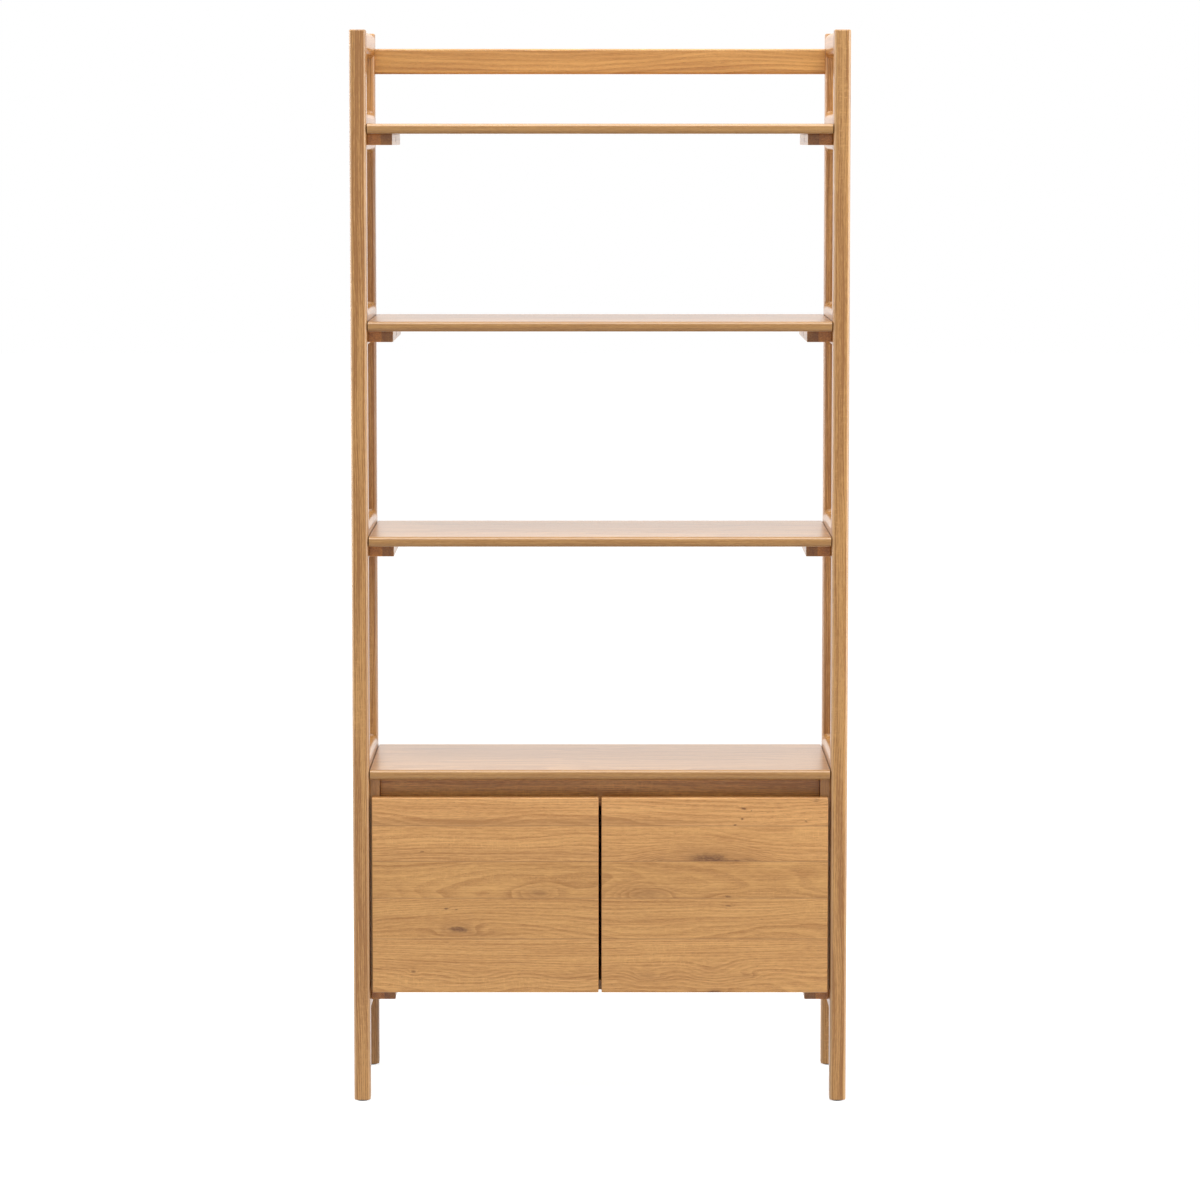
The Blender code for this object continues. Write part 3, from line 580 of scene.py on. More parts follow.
# The three axes run along the grain, across the face and through the thickness
def makeOak(name, alongAxis, acrossAxis, throughAxis, ringWidth=0.0026, flame=0.02, coarse=0.6, fine=1.0,
            contrast=1.0, toneSpread=0.10, tint=(1, 1, 1), seed=0.0, seedBySides=(0.0, 0.0, 0.0),
            staves=None, knots=(), halves=None, highlightStrength=0.0, highlightUpwardsOnly=False, bumpStrength=0.25):
    material, tree, shader = newMaterial(name)
    coordinates = addNode(tree, "ShaderNodeTexCoord").outputs
    places = split(tree, coordinates["Object"])
    turned = combine(tree, places[alongAxis], places[acrossAxis], places[throughAxis])
    for axis, amount in zip("XYZ", seedBySides):
        if amount:
            seed = calc(tree, "MULTIPLY_ADD", calc(tree, "SIGN", places[axis]), amount, seed)
    stave, centre, warp = 0.0, 0.0, 0.0
    if staves:
        values = {"Place": places[acrossAxis], "Low": staves[0], "High": staves[-1]}
        values.update({f"Joint {number}": joint for number, joint in enumerate(staves[1:-1], 1)})
        rows = addNode(tree, "ShaderNodeGroup", values, node_tree=staveGroup).outputs
        stave, centre = rows["Index"], rows["Centre"]
        seed = calc(tree, "MULTIPLY_ADD", stave, wood["seedPerStave"], seed)
    if knots:
        warp, heart, halo = addKnots(tree, turned, stave, knots)
        contrast = calc(tree, "MULTIPLY_ADD", halo, wood["ringsByKnot"], contrast)
    light, dark = [opaque(a * b for a, b in zip(wood[tone], tint)) for tone in ("light", "dark")]
    oak = addNode(tree, "ShaderNodeGroup", {
        "Vector": turned, "Seed": seed, "Centre": centre, "Ring Width": ringWidth, "Flame": flame,
        "Warp": warp, "Coarse": coarse, "Fine": fine, "Contrast": contrast, "Tone Spread": toneSpread,
        "Light Wood": light, "Dark Wood": dark, "Pore Colour": opaque(wood["pore"]),
    }, node_tree=oakGroup).outputs
    colour = oak["Color"]
    if knots:
        colour = mixColours(tree, halo, colour, opaque(wood["knotHalo"]))
        colour = mixColours(tree, heart, colour, opaque(wood["knotHeart"]))
    if staves:
        cover = calc(tree, "MULTIPLY", rows["Glue Line"], wood["glueCover"])
        colour = mixColours(tree, cover, colour, opaque(wood["glueLine"]))
    if halves:      # glued up of two strips, the one nearer the middle of the unit darker
        outward = calc(tree, "ABSOLUTE", places["X"])
        strip = mapRange(tree, outward, *halves["seam"], halves["inner"], halves["outer"])
        colour = mixColours(tree, 1.0, colour, combine(tree, strip, strip, strip), "MULTIPLY")
    # Painted highlight: the roundings are made paler where light would catch them
    if highlightStrength:
        highlightMask = addNode(tree, "ShaderNodeGroup", {
            "Normal": coordinates["Normal"], "Upwards": float(highlightUpwardsOnly),
            "Wobble": swing(tree, turned, wood["highlightWaves"]),
        }, node_tree=edgeHighlightGroup).outputs["Mask"]
        colour = mixColours(tree, calc(tree, "MULTIPLY", highlightMask, highlightStrength), colour, opaque(wood["worn"]))
    normal = split(tree, coordinates["Normal"])
    endFace = mapRange(tree, calc(tree, "ABSOLUTE", normal[alongAxis]), *wood["endFacing"])
    colour = mixColours(tree, endFace, colour, opaque(wood["endGrain"]), "MULTIPLY")
    feed(tree, shader.inputs["Base Color"], colour)
    feed(tree, shader.inputs["Roughness"], oak["Roughness"])
    addBump(tree, shader, oak["Height"], wood["bumpDepth"], bumpStrength)
    return material


# Stave joints of the doors, from the bottom up, and of the boards, from the front back
doorStaves = (0.2024, 0.3018, 0.3770, 0.4448, 0.5100, 0.5615)
boardStaves = (-0.1880, -0.1230, -0.0420, 0.0260, 0.1070, 0.1870)

# Each knot of the doors: stave from the bottom, place along and up, half length, half breadth, bend of
# the rings, darkness of the heart, warmth of the halo
doorKnots = [
    (1, -0.2592, 0.3195, 0.0170, 0.0062, 0.0060, 0.85, 0.80),
    (1, -0.2330, 0.3110, 0.0300, 0.0040, 0.0030, 0.00, 0.50),
    (2, -0.1126, 0.3862, 0.0190, 0.0065, 0.0078, 0.30, 0.35),
    (2, -0.3900, 0.3905, 0.0180, 0.0070, 0.0030, 0.00, 0.10),
    (1, -0.2791, 0.3581, 0.0040, 0.0018, 0.0020, 0.80, 0.20),
    (1, -0.2628, 0.3560, 0.0030, 0.0014, 0.0010, 0.60, 0.10),
    (0, -0.3406, 0.2404, 0.0042, 0.0032, 0.0040, 0.55, 0.25),
    (3, -0.3280, 0.4612, 0.0028, 0.0018, 0.0010, 0.65, 0.10),
    (3, -0.3050, 0.4500, 0.0500, 0.0045, 0.0036, 0.00, 0.25),
    (0, -0.2250, 0.2330, 0.0250, 0.0080, 0.0054, 0.00, 0.10),
    (0, -0.0600, 0.2280, 0.0300, 0.0080, 0.0054, 0.00, 0.10),
    (3, 0.1990, 0.4460, 0.0430, 0.0120, 0.0180, 0.85, 0.75),
    (3, 0.2180, 0.4450, 0.0600, 0.0026, 0.0000, 0.95, 0.30),
    (3, 0.2720, 0.4460, 0.0260, 0.0046, 0.0042, 0.40, 0.50),
    (3, 0.1050, 0.4460, 0.0220, 0.0060, 0.0066, 0.15, 0.50),
    (2, 0.0829, 0.3850, 0.0280, 0.0090, 0.0120, 0.20, 0.40),
    (2, 0.2368, 0.3795, 0.0060, 0.0018, 0.0020, 0.70, 0.30),
    (2, 0.3300, 0.3800, 0.0600, 0.0050, 0.0040, 0.00, 0.25),
    (1, 0.2368, 0.3640, 0.0055, 0.0020, 0.0020, 0.75, 0.20),
    (4, 0.2585, 0.5427, 0.0030, 0.0022, 0.0015, 0.90, 0.15),
    (4, 0.2694, 0.5391, 0.0018, 0.0014, 0.0008, 0.60, 0.10),
    (4, 0.2585, 0.5228, 0.0026, 0.0018, 0.0012, 0.80, 0.15),
    (4, 0.2458, 0.5122, 0.0030, 0.0016, 0.0012, 0.85, 0.25),
    (4, 0.3743, 0.5195, 0.0024, 0.0016, 0.0010, 0.75, 0.15),
    (4, 0.3960, 0.5553, 0.0050, 0.0030, 0.0027, 0.30, 0.30),
    (0, 0.2078, 0.2030, 0.0150, 0.0028, 0.0036, 0.85, 0.60),
    (0, 0.0901, 0.2332, 0.0180, 0.0060, 0.0084, 0.08, 0.25),
    (0, 0.2100, 0.2380, 0.0260, 0.0120, 0.0108, 0.00, 0.15),
    (0, 0.2700, 0.2330, 0.0140, 0.0040, 0.0048, 0.10, 0.25),
    (4, -0.2600, 0.5140, 0.2200, 0.0050, 0.0000, 0.00, 0.60),    # the darker band over the top glue line
    (4, 0.0000, 0.5160, 0.1100, 0.0045, 0.0000, 0.00, 0.60),
    (3, -0.1800, 0.4560, 0.1500, 0.0050, 0.0000, 0.00, 0.35),
]

# Posts and boards carry a painted highlight on their rounded edges
postOak = makeOak("postOak", "Z", "X", "Y", ringWidth=0.0040, flame=0.028, coarse=1.15, fine=0.8,
                  contrast=2.1, tint=(0.80, 0.76, 0.68), seed=5.0, seedBySides=(3.1, 5.7, 0), highlightStrength=0.32)
railOak = makeOak("railOak", "Y", "Z", "X", flame=0.012, coarse=0.8, tint=(0.84, 0.82, 0.76),
                  seed=11.0, seedBySides=(4.3, 0, 0), bumpStrength=0.1)
crossOak = makeOak("crossOak", "X", "Z", "Y", ringWidth=0.0110, flame=0.090, coarse=0.8, fine=0.55,
                   contrast=1.3, tint=(0.91, 0.91, 0.73), seed=21.0)
shelfOak = makeOak("shelfOak", "X", "Y", "Z", flame=0.022, tint=(0.69, 0.67, 0.58), seed=31.0,
                   staves=boardStaves, highlightStrength=0.32, highlightUpwardsOnly=True)
doorOak = makeOak("doorOak", "X", "Z", "Y", flame=0.034, coarse=0.5, contrast=1.05, toneSpread=0.16,
                  tint=(1.03, 1.00, 0.93), seed=41.0, staves=doorStaves, knots=doorKnots)
battenOak = makeOak("battenOak", "Y", "X", "Z", flame=0.008, coarse=1.0, contrast=1.5, toneSpread=0.12,
                    tint=(1.20, 1.12, 0.68), seed=51.0, seedBySides=(2.9, 0, 0.7),
                    halves={"seam": (0.3953, 0.3957), "inner": 0.65, "outer": 1.08}, bumpStrength=0.1)
sideOak = makeOak("sideOak", "Z", "Y", "X", tint=(0.85, 0.83, 0.78), seed=61.0, seedBySides=(6.1, 0, 0),
                  staves=boardStaves)
backOak = makeOak("backOak", "X", "Z", "Y", tint=(0.85, 0.80, 0.74), seed=71.0)
recessOak = makeOak("recessOak", "X", "Z", "Y", flame=0.050, coarse=0.9, contrast=1.7,
                    tint=(1.05, 0.96, 0.74), seed=81.0)
print("oak finishes ready")


# Plated metal: fine brushing, and soft clouds of tone

metal = {
    "brushing": (3.0, 0.6),             # detail, roughness
    "cloudWaves": (90.0, 90.0, 90.0),
    "cloudDark": 0.86,
    "noiseRange": (0.3, 0.7),
    "roughnessSpread": (-0.07, 0.09),
    "bumpDepth": 0.00004,
    "bumpStrength": 0.4,
}


def makeMetal(name, colour, roughness, brushWaves):
    material, tree, shader = newMaterial(name)
    shader.inputs["Metallic"].default_value = 1.0
    place = addNode(tree, "ShaderNodeTexCoord").outputs["Object"]
    scratches = noise(tree, place, brushWaves, *metal["brushing"])
    clouds = mapRange(tree, noise(tree, place, metal["cloudWaves"]), *metal["noiseRange"])
    dark = opaque(value * metal["cloudDark"] for value in colour)
    feed(tree, shader.inputs["Base Color"], mixColours(tree, clouds, dark, opaque(colour)))
    low, high = [roughness + change for change in metal["roughnessSpread"]]
    rough = mapRange(tree, scratches, *metal["noiseRange"], low, high, "LINEAR")
    feed(tree, shader.inputs["Roughness"], rough)
    addBump(tree, shader, scratches, metal["bumpDepth"], metal["bumpStrength"])
    return material


# Moulded plastic with a fine speckle

plastic = {
    "speckleWaves": (1800.0, 1800.0, 1800.0),
    "toneSpread": (0.7, 1.4),
    "roughnessSpread": (-0.1, 0.1),
    "bumpDepth": 0.00005,
    "bumpStrength": 0.5,
}


def makePlastic(name, colour, roughness):
    material, tree, shader = newMaterial(name)
    place = addNode(tree, "ShaderNodeTexCoord").outputs["Object"]
    speckle = noise(tree, place, plastic["speckleWaves"])
    dark, light = [opaque(value * share for value in colour) for share in plastic["toneSpread"]]
    feed(tree, shader.inputs["Base Color"], mixColours(tree, speckle, dark, light))
    low, high = [roughness + change for change in plastic["roughnessSpread"]]
    feed(tree, shader.inputs["Roughness"], mapRange(tree, speckle, 0, 1, low, high, "LINEAR"))
    addBump(tree, shader, speckle, plastic["bumpDepth"], plastic["bumpStrength"])
    return material


nickel = makeMetal("hingeNickel", (0.62, 0.60, 0.57), 0.27, (900.0, 900.0, 60.0))
zinc = makeMetal("boltZinc", (0.50, 0.50, 0.49), 0.34, (1500.0, 400.0, 400.0))
blackPlastic = makePlastic("glidePlastic", (0.022, 0.021, 0.020), 0.55)


# Posts

post = {
    "edgeRound": 0.0070,
    "edgeSteps": 6,
    "topRound": 0.0025,
    "topSteps": 4,
    "footChamfer": 0.0015,
    "footSteps": 2,
}


def makePosts():
    model = "left_front_post"
    low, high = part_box(model)
    bar = addBlock(model, low, high)
    roundEdges(bar, post["edgeRound"], post["edgeSteps"], runsAlong(2))
    roundEdges(bar, post["topRound"], post["topSteps"], atHighEnd(2, high.z))
    roundEdges(bar, post["footChamfer"], post["footSteps"], atLowEnd(2, low.z))
    pieces[model] = bar
    for side in sides:
        for end in ends:
            node = f"{side}_{end}_post"
            if node != model:
                pieces[node] = copyTo(node, bar, model)


# Side rails, with a hollow at each end where the rail swells out to meet the post

rail = {
    "halfLength": 0.1497,
    "edgeRound": 0.0090,
    "edgeSteps": 6,
    "hollow": 0.010,
    "hollowAngles": (78, 66, 54, 42, 31, 20),   # degrees, from the straight part to the post
    "levels": ("top", "upper", "middle", "lower", "cupboard_top", "base"),
}


def makeRail(node, hollowTop):
    # The straight part first, then each end is extruded step by step and made taller
    low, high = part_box(node)
    hollow = rail["hollow"]
    angles = [math.radians(angle) for angle in rail["hollowAngles"]]
    swell = hollow * (1 - math.sin(angles[-1]))
    swollenSides = 2 if hollowTop else 1
    bottom, top = low.z + swell, high.z - (swell if hollowTop else 0)
    reach = rail["halfLength"] - hollow
    bar = addBlock(node, (low.x, -reach, bottom), (high.x, reach, top))
    roundEdges(bar, rail["edgeRound"], rail["edgeSteps"], runsAlong(1))
    centre = ((low.x + high.x) / 2, 0, (top + bottom) / 2 if hollowTop else top)
    for way in (-1, 1):
        editParts(bar, "FACE", lambda middle, normal: normal.y * way > facing)
        grown, place = 0.0, 0.0
        for angle in angles:
            along = hollow * math.cos(angle) if angle != angles[-1] else hollow
            swollen = hollow * (1 - math.sin(angle))
            factor = (top - bottom + swollenSides * swollen) / (top - bottom + swollenSides * grown)
            bpy.ops.mesh.extrude_region_move(TRANSFORM_OT_translate={"value": (0, way * (along - place), 0)})
            bpy.ops.transform.resize(value=(1, 1, factor), center_override=centre)
            grown, place = swollen, along
        bpy.ops.object.mode_set(mode="OBJECT")
    return bar


def makeRails():
    for level in ("top", "upper"):
        node = f"left_{level}_rail"
        pieces[node] = makeRail(node, level != "top")
    for side in sides:
        for level in rail["levels"]:
            node = f"{side}_{level}_rail"
            if node not in pieces:
                model = "left_top_rail" if level == "top" else "left_upper_rail"
                pieces[node] = copyTo(node, pieces[model], model)


# Cross rail between the rear posts

crossRail = {"halfLength": 0.4197, "edgeRound": 0.004, "edgeSteps": 5}


def makeCrossRail():
    node = "rear_cross_rail"
    low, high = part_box(node)
    half = crossRail["halfLength"]
    bar = addBlock(node, (-half, low.y, low.z), (half, high.y, high.z))
    roundEdges(bar, crossRail["edgeRound"], crossRail["edgeSteps"], runsAlong(0))
    pieces[node] = bar


# Shelves and the cupboard's top board

board = {
    "frontRound": 0.0068,
    "frontSteps": 9,
    "rearRound": 0.002,
    "rearSteps": 3,
    "endRound": 0.0006,
    "endSteps": 2,
}


def makeBoards():
    model = "upper_shelf"
    low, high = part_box(model)
    slab = addBlock(model, low, high)
    roundEdges(slab, board["frontRound"], board["frontSteps"], both(runsAlong(0), atLowEnd(1, low.y)))
    roundEdges(slab, board["rearRound"], board["rearSteps"], both(runsAlong(0), atHighEnd(1, high.y)))
    roundEdges(slab, board["endRound"], board["endSteps"],
               lambda a, b: min(abs(a.x), abs(b.x)) > high.x - near)
    pieces[model] = slab
    for node in ("middle_shelf", "lower_shelf", "cupboard_top"):
        pieces[node] = copyTo(node, slab, model)


# Battens under the boards, each with a hole for its bolt and a recess for the bolt's head

batten = {
    "levels": ("upper", "middle", "lower", "base"),
    "outerX": 0.4197,
    "edgeRound": 0.001,
    "edgeSteps": 3,
    "holeRadius": 0.0033,
    "holeFacets": 24,
    "recessRadius": 0.0058,
    "recessDepth": 0.008,
    "recessFacets": 32,
}


def makeBattens():
    model = "right_upper_batten"
    low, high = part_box(model)
    outer = batten["outerX"]
    bar = addBlock(model, low, (outer, high.y, high.z))
    roundEdges(bar, batten["edgeRound"], batten["edgeSteps"], everyEdge)
    z = middleOf(model)[2]
    for name, floor in (("hole", outer + cutPast), ("recess", low.x + batten["recessDepth"])):
        radius, facets = batten[name + "Radius"], batten[name + "Facets"]
        cutAway(bar, addRod(name, radius, (low.x - cutPast, 0, z), (floor, 0, z), facets))
    mirrored = mirrorCopy(bar, "left_upper_batten")
    pieces[model], pieces["left_upper_batten"] = bar, mirrored
    for level in batten["levels"][1:]:
        for side, piece in (("right", bar), ("left", mirrored)):
            node = f"{side}_{level}_batten"
            pieces[node] = copyTo(node, piece, f"{side}_upper_batten")


# Cupboard boards

cupboard = {
    "edgeRound": 0.0007,
    "edgeSteps": 2,
    "grooveDepth": 0.006,
    "grooveClear": 0.0003,
    "backDrop": 0.0002,     # the back reaches this much lower and closes the seam along the floor board
}


def makeCupboardBoards():
    for node in ("cupboard_floor", "cupboard_back", "finger_rail", "cupboard_right_side"):
        low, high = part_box(node)
        if node == "cupboard_back":
            low = low - Vector((0, 0, cupboard["backDrop"]))
        panel = addBlock(node, low, high)
        roundEdges(panel, cupboard["edgeRound"], cupboard["edgeSteps"], everyEdge)
        pieces[node] = panel
    low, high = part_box("cupboard_right_side")
    backLow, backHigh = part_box("cupboard_back")
    clear = cupboard["grooveClear"]
    groove = addBlock(
        "groove",
        (low.x - cutPast, backLow.y - clear, low.z - cutPast),
        (low.x + cupboard["grooveDepth"], backHigh.y + clear, high.z + cutPast),
    )
    cutAway(pieces["cupboard_right_side"], groove)
    pieces["cupboard_left_side"] = mirrorCopy(pieces["cupboard_right_side"], "cupboard_left_side")


# Doors, with the bored seats of their hinge cups

door = {
    "edgeRound": 0.002,
    "edgeSteps": 4,
    "seatRadius": 0.0175,
    "seatDepth": 0.0123,
    "seatFromEdge": 0.0205,
    "seatFacets": 48,
}


def makeDoors():
    low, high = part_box("right_door")
    panel = addBlock("right_door", low, high)
    roundEdges(panel, door["edgeRound"], door["edgeSteps"], everyEdge)
    x = high.x - door["seatFromEdge"]
    for level in ("upper", "lower"):
        z = middleOf(f"right_{level}_hinge_cup")[2]
        floor, mouth = (x, high.y - door["seatDepth"], z), (x, high.y + cutPast, z)
        cutAway(panel, addRod("seat", door["seatRadius"], floor, mouth, door["seatFacets"]))
    pieces["right_door"] = panel
    pieces["left_door"] = mirrorCopy(panel, "left_door")


pieces = {}
makePosts()
makeRails()
makeCrossRail()
makeBoards()
makeBattens()
makeCupboardBoards()
makeDoors()

# By the end of a node's name, where the first that fits counts
finishes = (
    ("_post", postOak, "oak_frame"),
    ("rear_cross_rail", crossOak, "oak_frame"),
    ("finger_rail", recessOak, "oak_carcass"),
    ("_rail", railOak, "oak_frame"),
    ("_shelf", shelfOak, "oak_shelf"),
    ("cupboard_top", shelfOak, "oak_shelf"),
    ("_batten", battenOak, "oak_batten"),
    ("_side", sideOak, "oak_carcass"),
    ("cupboard_back", backOak, "oak_carcass"),
    ("cupboard_floor", shelfOak, "oak_carcass"),
    ("_door", doorOak, "oak_door"),
)
for node, piece in pieces.items():
    material, slot = next((finish, slot) for ending, finish, slot in finishes if node.endswith(ending))
    body = node + "_leaf" if node.endswith("_door") else fixedBody
    finishPiece(piece, node, material, body)
print("wooden pieces made:", len(pieces))


# Screws of the hinges: a pan head with a cross recess, its underside at the place

screw = {
    "radius": 0.0034,
    "height": 0.0011,
    "sunk": 0.0002,
    "facets": 24,
    "dome": 0.0007,
    "domeSteps": 4,
    "crossLength": 0.0038,
    "crossWidth": 0.0007,
    "crossDepth": 0.0007,
}


def addScrew(name, place, outward):
    top = screw["height"]
    head = addRod(name, screw["radius"], (0, 0, -screw["sunk"]), (0, 0, top), screw["facets"])
    roundEdges(head, screw["dome"], screw["domeSteps"], atHighEnd(2, top))
    long, wide, floor = screw["crossLength"] / 2, screw["crossWidth"] / 2, top - screw["crossDepth"]
    for x, y in ((long, wide), (wide, long)):
        cutAway(head, addBlock("cross", (-x, -y, floor), (x, y, top + cutPast)))
    turnUpTo(head, Vector(outward))
    head.location = Vector(place)
    return settle(head)


# Cup hinges: a cup in the door, an arm on the cupboard side, and a bowed link from one to the other.
# The upper right hinge is modelled, and the others are copies.

hinge = {
    # What the hinge is set out from
    "doorOuterX": 0.4155,
    "doorFaceY": -0.1885,
    "doorBackY": -0.1685,
    "pin": (0.3861, -0.1660),
    "pinRadius": 0.0013,
    "play": 0.0003,
    "thinEdge": (0.0003, 2),        # radius and steps
    "roundFacets": 48,
    "pinFacets": 24,
    "eyeFacets": 32,
    "curlFacets": 20,

    # Cup
    "cupX": 0.3950,
    "cupRadius": 0.0172,
    "cupWall": 0.0009,
    "cupDepth": 0.0120,
    "cupFloorRound": 0.0030,
    "cupFloorSteps": 5,
    "flangeRadius": 0.0178,
    "flange": (0.0003, 0.0011),     # its two faces, above the back of the door
    "dishUnder": 0.0002,            # the dish ends this far below the flange's face
    "earsOver": 0.0001,             # and the ears this far above it
    "earHalf": (0.0060, 0.0260),
    "earRound": 0.0055,
    "earSteps": 6,
    "screwFromMiddle": 0.0215,

    # Link
    "linkHalf": 0.0040,
    "linkThick": 0.0016,
    "linkLength": 0.0227,
    "linkRest": 198.2,              # degrees, its direction with the door shut
    "linkStart": 0.0001,            # length of the block that is extruded
    "bowAlong": 0.74,
    "bow": 0.01165,
    "bowSteps": 16,
    "eyeRadius": 0.0026,
    "curlRadius": 0.00112,

    # Arm, with the places where its three slants in plan start and end
    "armHalf": 0.0065,
    "armX": (0.3835, 0.3999),
    "armY": (-0.1686, -0.1045),
    "frontSlantY": -0.1485,
    "backSlantY": -0.1165,
    "innerSlantY": -0.1410,
    "armInside": (0.3930, -0.1400),     # a point that all three slants keep
    "noseRound": 0.00247,
    "noseSteps": 6,
    "armEdge": (0.0005, 3),
    "mouthReach": 0.020,            # past the pin
    "channelY": (-0.1600, -0.1390),
    "channelHalf": 0.0028,
    "channelDepth": 0.0012,
    "adjusterY": -0.1440,
    "clampY": -0.1270,
    "clampSink": 0.0010,
    "pinProud": 0.0004,

    # Mounting plate
    "plateX": (0.3994, 0.4014),
    "plateY": (-0.1525, -0.1165),
    "plateHalf": 0.0220,
    "plateRound": 0.0040,
    "plateSteps": 6,
    "plateEdge": (0.0004, 2),
    "plateScrew": 0.0155,           # above and below its middle
}


def alongRim(z, half):
    # Level edges at the top and the bottom of a shape that reaches half its height to either side of z
    return lambda a, b: abs(a.z - b.z) < near and abs(abs(a.z - z) - half) < near


def makeCup(z):
    back, x, wall, facets = hinge["doorBackY"], hinge["cupX"], hinge["cupWall"], hinge["roundFacets"]
    low, high = [back + level for level in hinge["flange"]]
    bottom = back - hinge["cupDepth"]
    floorRound, floorSteps = hinge["cupFloorRound"], hinge["cupFloorSteps"]
    rim = (x, high - hinge["dishUnder"], z)
    dish = addRod("right_upper_hinge_cup", hinge["cupRadius"], (x, bottom, z), rim, facets)
    roundEdges(dish, floorRound, floorSteps, atLowEnd(1, bottom))
    flange = addRod("flange", hinge["flangeRadius"], (x, low, z), (x, high, z), facets)
    roundEdges(flange, *hinge["thinEdge"], atHighEnd(1, high))
    halfX, halfZ = hinge["earHalf"]
    earTop = high + hinge["earsOver"]
    ears = addBlock("ears", (x - halfX, low, z - halfZ), (x + halfX, earTop, z + halfZ))
    roundEdges(ears, hinge["earRound"], hinge["earSteps"], runsAlong(1))
    roundEdges(ears, *hinge["thinEdge"], atHighEnd(1, earTop))
    uniteWith(dish, [flange, ears])
    inside, mouth = (x, bottom + wall, z), (x, high + cutPast, z)
    hollow = addRod("hollow", hinge["cupRadius"] - wall, inside, mouth, facets)
    roundEdges(hollow, floorRound - wall, floorSteps, atLowEnd(1, bottom + wall))
    cutAway(dish, hollow)
    places = [(x, high, z + way * hinge["screwFromMiddle"]) for way in (-1, 1)]
    return joinTo(dish, [addScrew("screw", place, (0, 1, 0)) for place in places])


def makeLink(z):
    # A bowed strap from the eye on the arm's pin into the cup, extruded step by step along its curve,
    # which is worked out in plan: from the door's outer edge inwards, and from its face back
    outer, face, length = hinge["doorOuterX"], hinge["doorFaceY"], hinge["linkLength"]
    x, y = hinge["pin"]
    angle = math.radians(hinge["linkRest"])
    ahead = Vector((math.cos(angle), math.sin(angle)))
    aside = Vector((-ahead.y, ahead.x))
    start = Vector((outer - x, y - face))
    end = start + length * ahead
    bow = start + length * hinge["bowAlong"] * ahead + hinge["bow"] * aside

    def onCurve(t):
        point = (1 - t) ** 2 * start + 2 * t * (1 - t) * bow + t ** 2 * end
        heading = 2 * (1 - t) * (bow - start) + 2 * t * (end - bow)
        return Vector((outer - point.x, face + point.y, z)), math.atan2(heading.y, -heading.x)

    place, turn = onCurve(0)
    half = Vector((hinge["linkThick"] / 2, hinge["linkStart"] / 2, hinge["linkHalf"]))
    strap = addBlock("right_upper_hinge_link", place - half, place + half)
    strap.rotation_euler.z = turn - math.pi / 2
    strap.location = place - strap.rotation_euler.to_matrix() @ place
    settle(strap)
    forward = Vector((math.cos(turn), math.sin(turn), 0))
    editParts(strap, "FACE", lambda middle, normal: normal.dot(forward) > facing)
    for step in range(1, hinge["bowSteps"] + 1):
        following, heading = onCurve(step / hinge["bowSteps"])
        bpy.ops.mesh.extrude_region_move(TRANSFORM_OT_translate={"value": following - place})
        bpy.ops.transform.rotate(
            value=-(heading - turn), orient_axis="Z", orient_type="GLOBAL", center_override=following
        )
        place, turn = following, heading
    bpy.ops.object.mode_set(mode="OBJECT")
    up = Vector((0, 0, hinge["linkHalf"]))
    pin = Vector((x, y, z))
    eye = addRod("eye", hinge["eyeRadius"], pin - up, pin + up, hinge["eyeFacets"])
    curl = addRod("curl", hinge["curlRadius"], place - up, place + up, hinge["curlFacets"])
    uniteWith(strap, [eye, curl])
    past = up + Vector((0, 0, cutPast))
    bore = addRod("bore", hinge["pinRadius"] + hinge["play"], pin - past, pin + past, hinge["eyeFacets"])
    cutAway(strap, bore)
    return strap


def makeArm(z):
    x, y = hinge["pin"]
    half, play, eye = hinge["armHalf"], hinge["play"], hinge["eyeRadius"]
    inner, outer = hinge["armX"]
    front, rear = hinge["armY"]
    arm = addBlock("right_upper_hinge_arm", (inner, front, z - half), (outer, rear, z + half))
    # Slants in plan, at the front, the rear and the inner side
    inside = Vector((*hinge["armInside"], z))
    for start, end in (
        ((x + eye, y), (outer, hinge["frontSlantY"])),
        ((x, rear), (outer, hinge["backSlantY"])),
        ((inner, hinge["innerSlantY"]), (x, rear)),
    ):
        start, end = Vector((*start, z)), Vector((*end, z))
        outward = (end - start).cross(Vector((0, 0, 1))).normalized()
        if outward.dot(inside - start) > 0:
            outward = -outward
        trimBeyond(arm, start, outward)
    roundEdges(arm, hinge["noseRound"], hinge["noseSteps"], both(runsAlong(2), atLowEnd(1, front)))
    roundEdges(arm, *hinge["armEdge"], alongRim(z, half))
    slotHalf = hinge["linkHalf"] + play
    mouth = addBlock(
        "mouth",
        (inner - cutPast, front - cutPast, z - slotHalf),
        (x + hinge["mouthReach"], y + eye + play, z + slotHalf),
    )
    cutAway(arm, mouth)
    (start, end), channelHalf = hinge["channelY"], hinge["channelHalf"]
    floor = inner + hinge["channelDepth"]
    channel = addBlock("channel", (inner - cutPast, start, z - channelHalf), (floor, end, z + channelHalf))
    cutAway(arm, channel)
    pinHalf = half + hinge["pinProud"]
    pin = addRod("pin", hinge["pinRadius"], (x, y, z - pinHalf), (x, y, z + pinHalf), hinge["pinFacets"])
    roundEdges(pin, *hinge["thinEdge"], alongRim(z, pinHalf))

    (nearX, farX), (start, end), reach = hinge["plateX"], hinge["plateY"], hinge["plateHalf"]
    plate = addBlock("plate", (nearX, start, z - reach), (farX, end, z + reach))
    roundEdges(plate, hinge["plateRound"], hinge["plateSteps"], runsAlong(0))
    roundEdges(plate, *hinge["plateEdge"], atLowEnd(0, nearX))
    uniteWith(arm, [pin, plate])
    middle, offset = (start + end) / 2, hinge["plateScrew"]
    return joinTo(arm, [addScrew(name, place, (-1, 0, 0)) for name, place in (
        ("screw", (nearX, middle, z - offset)),
        ("screw", (nearX, middle, z + offset)),
        ("adjuster", (floor, hinge["adjusterY"], z)),
        ("clamp", (inner + hinge["clampSink"], hinge["clampY"], z)),
    )])


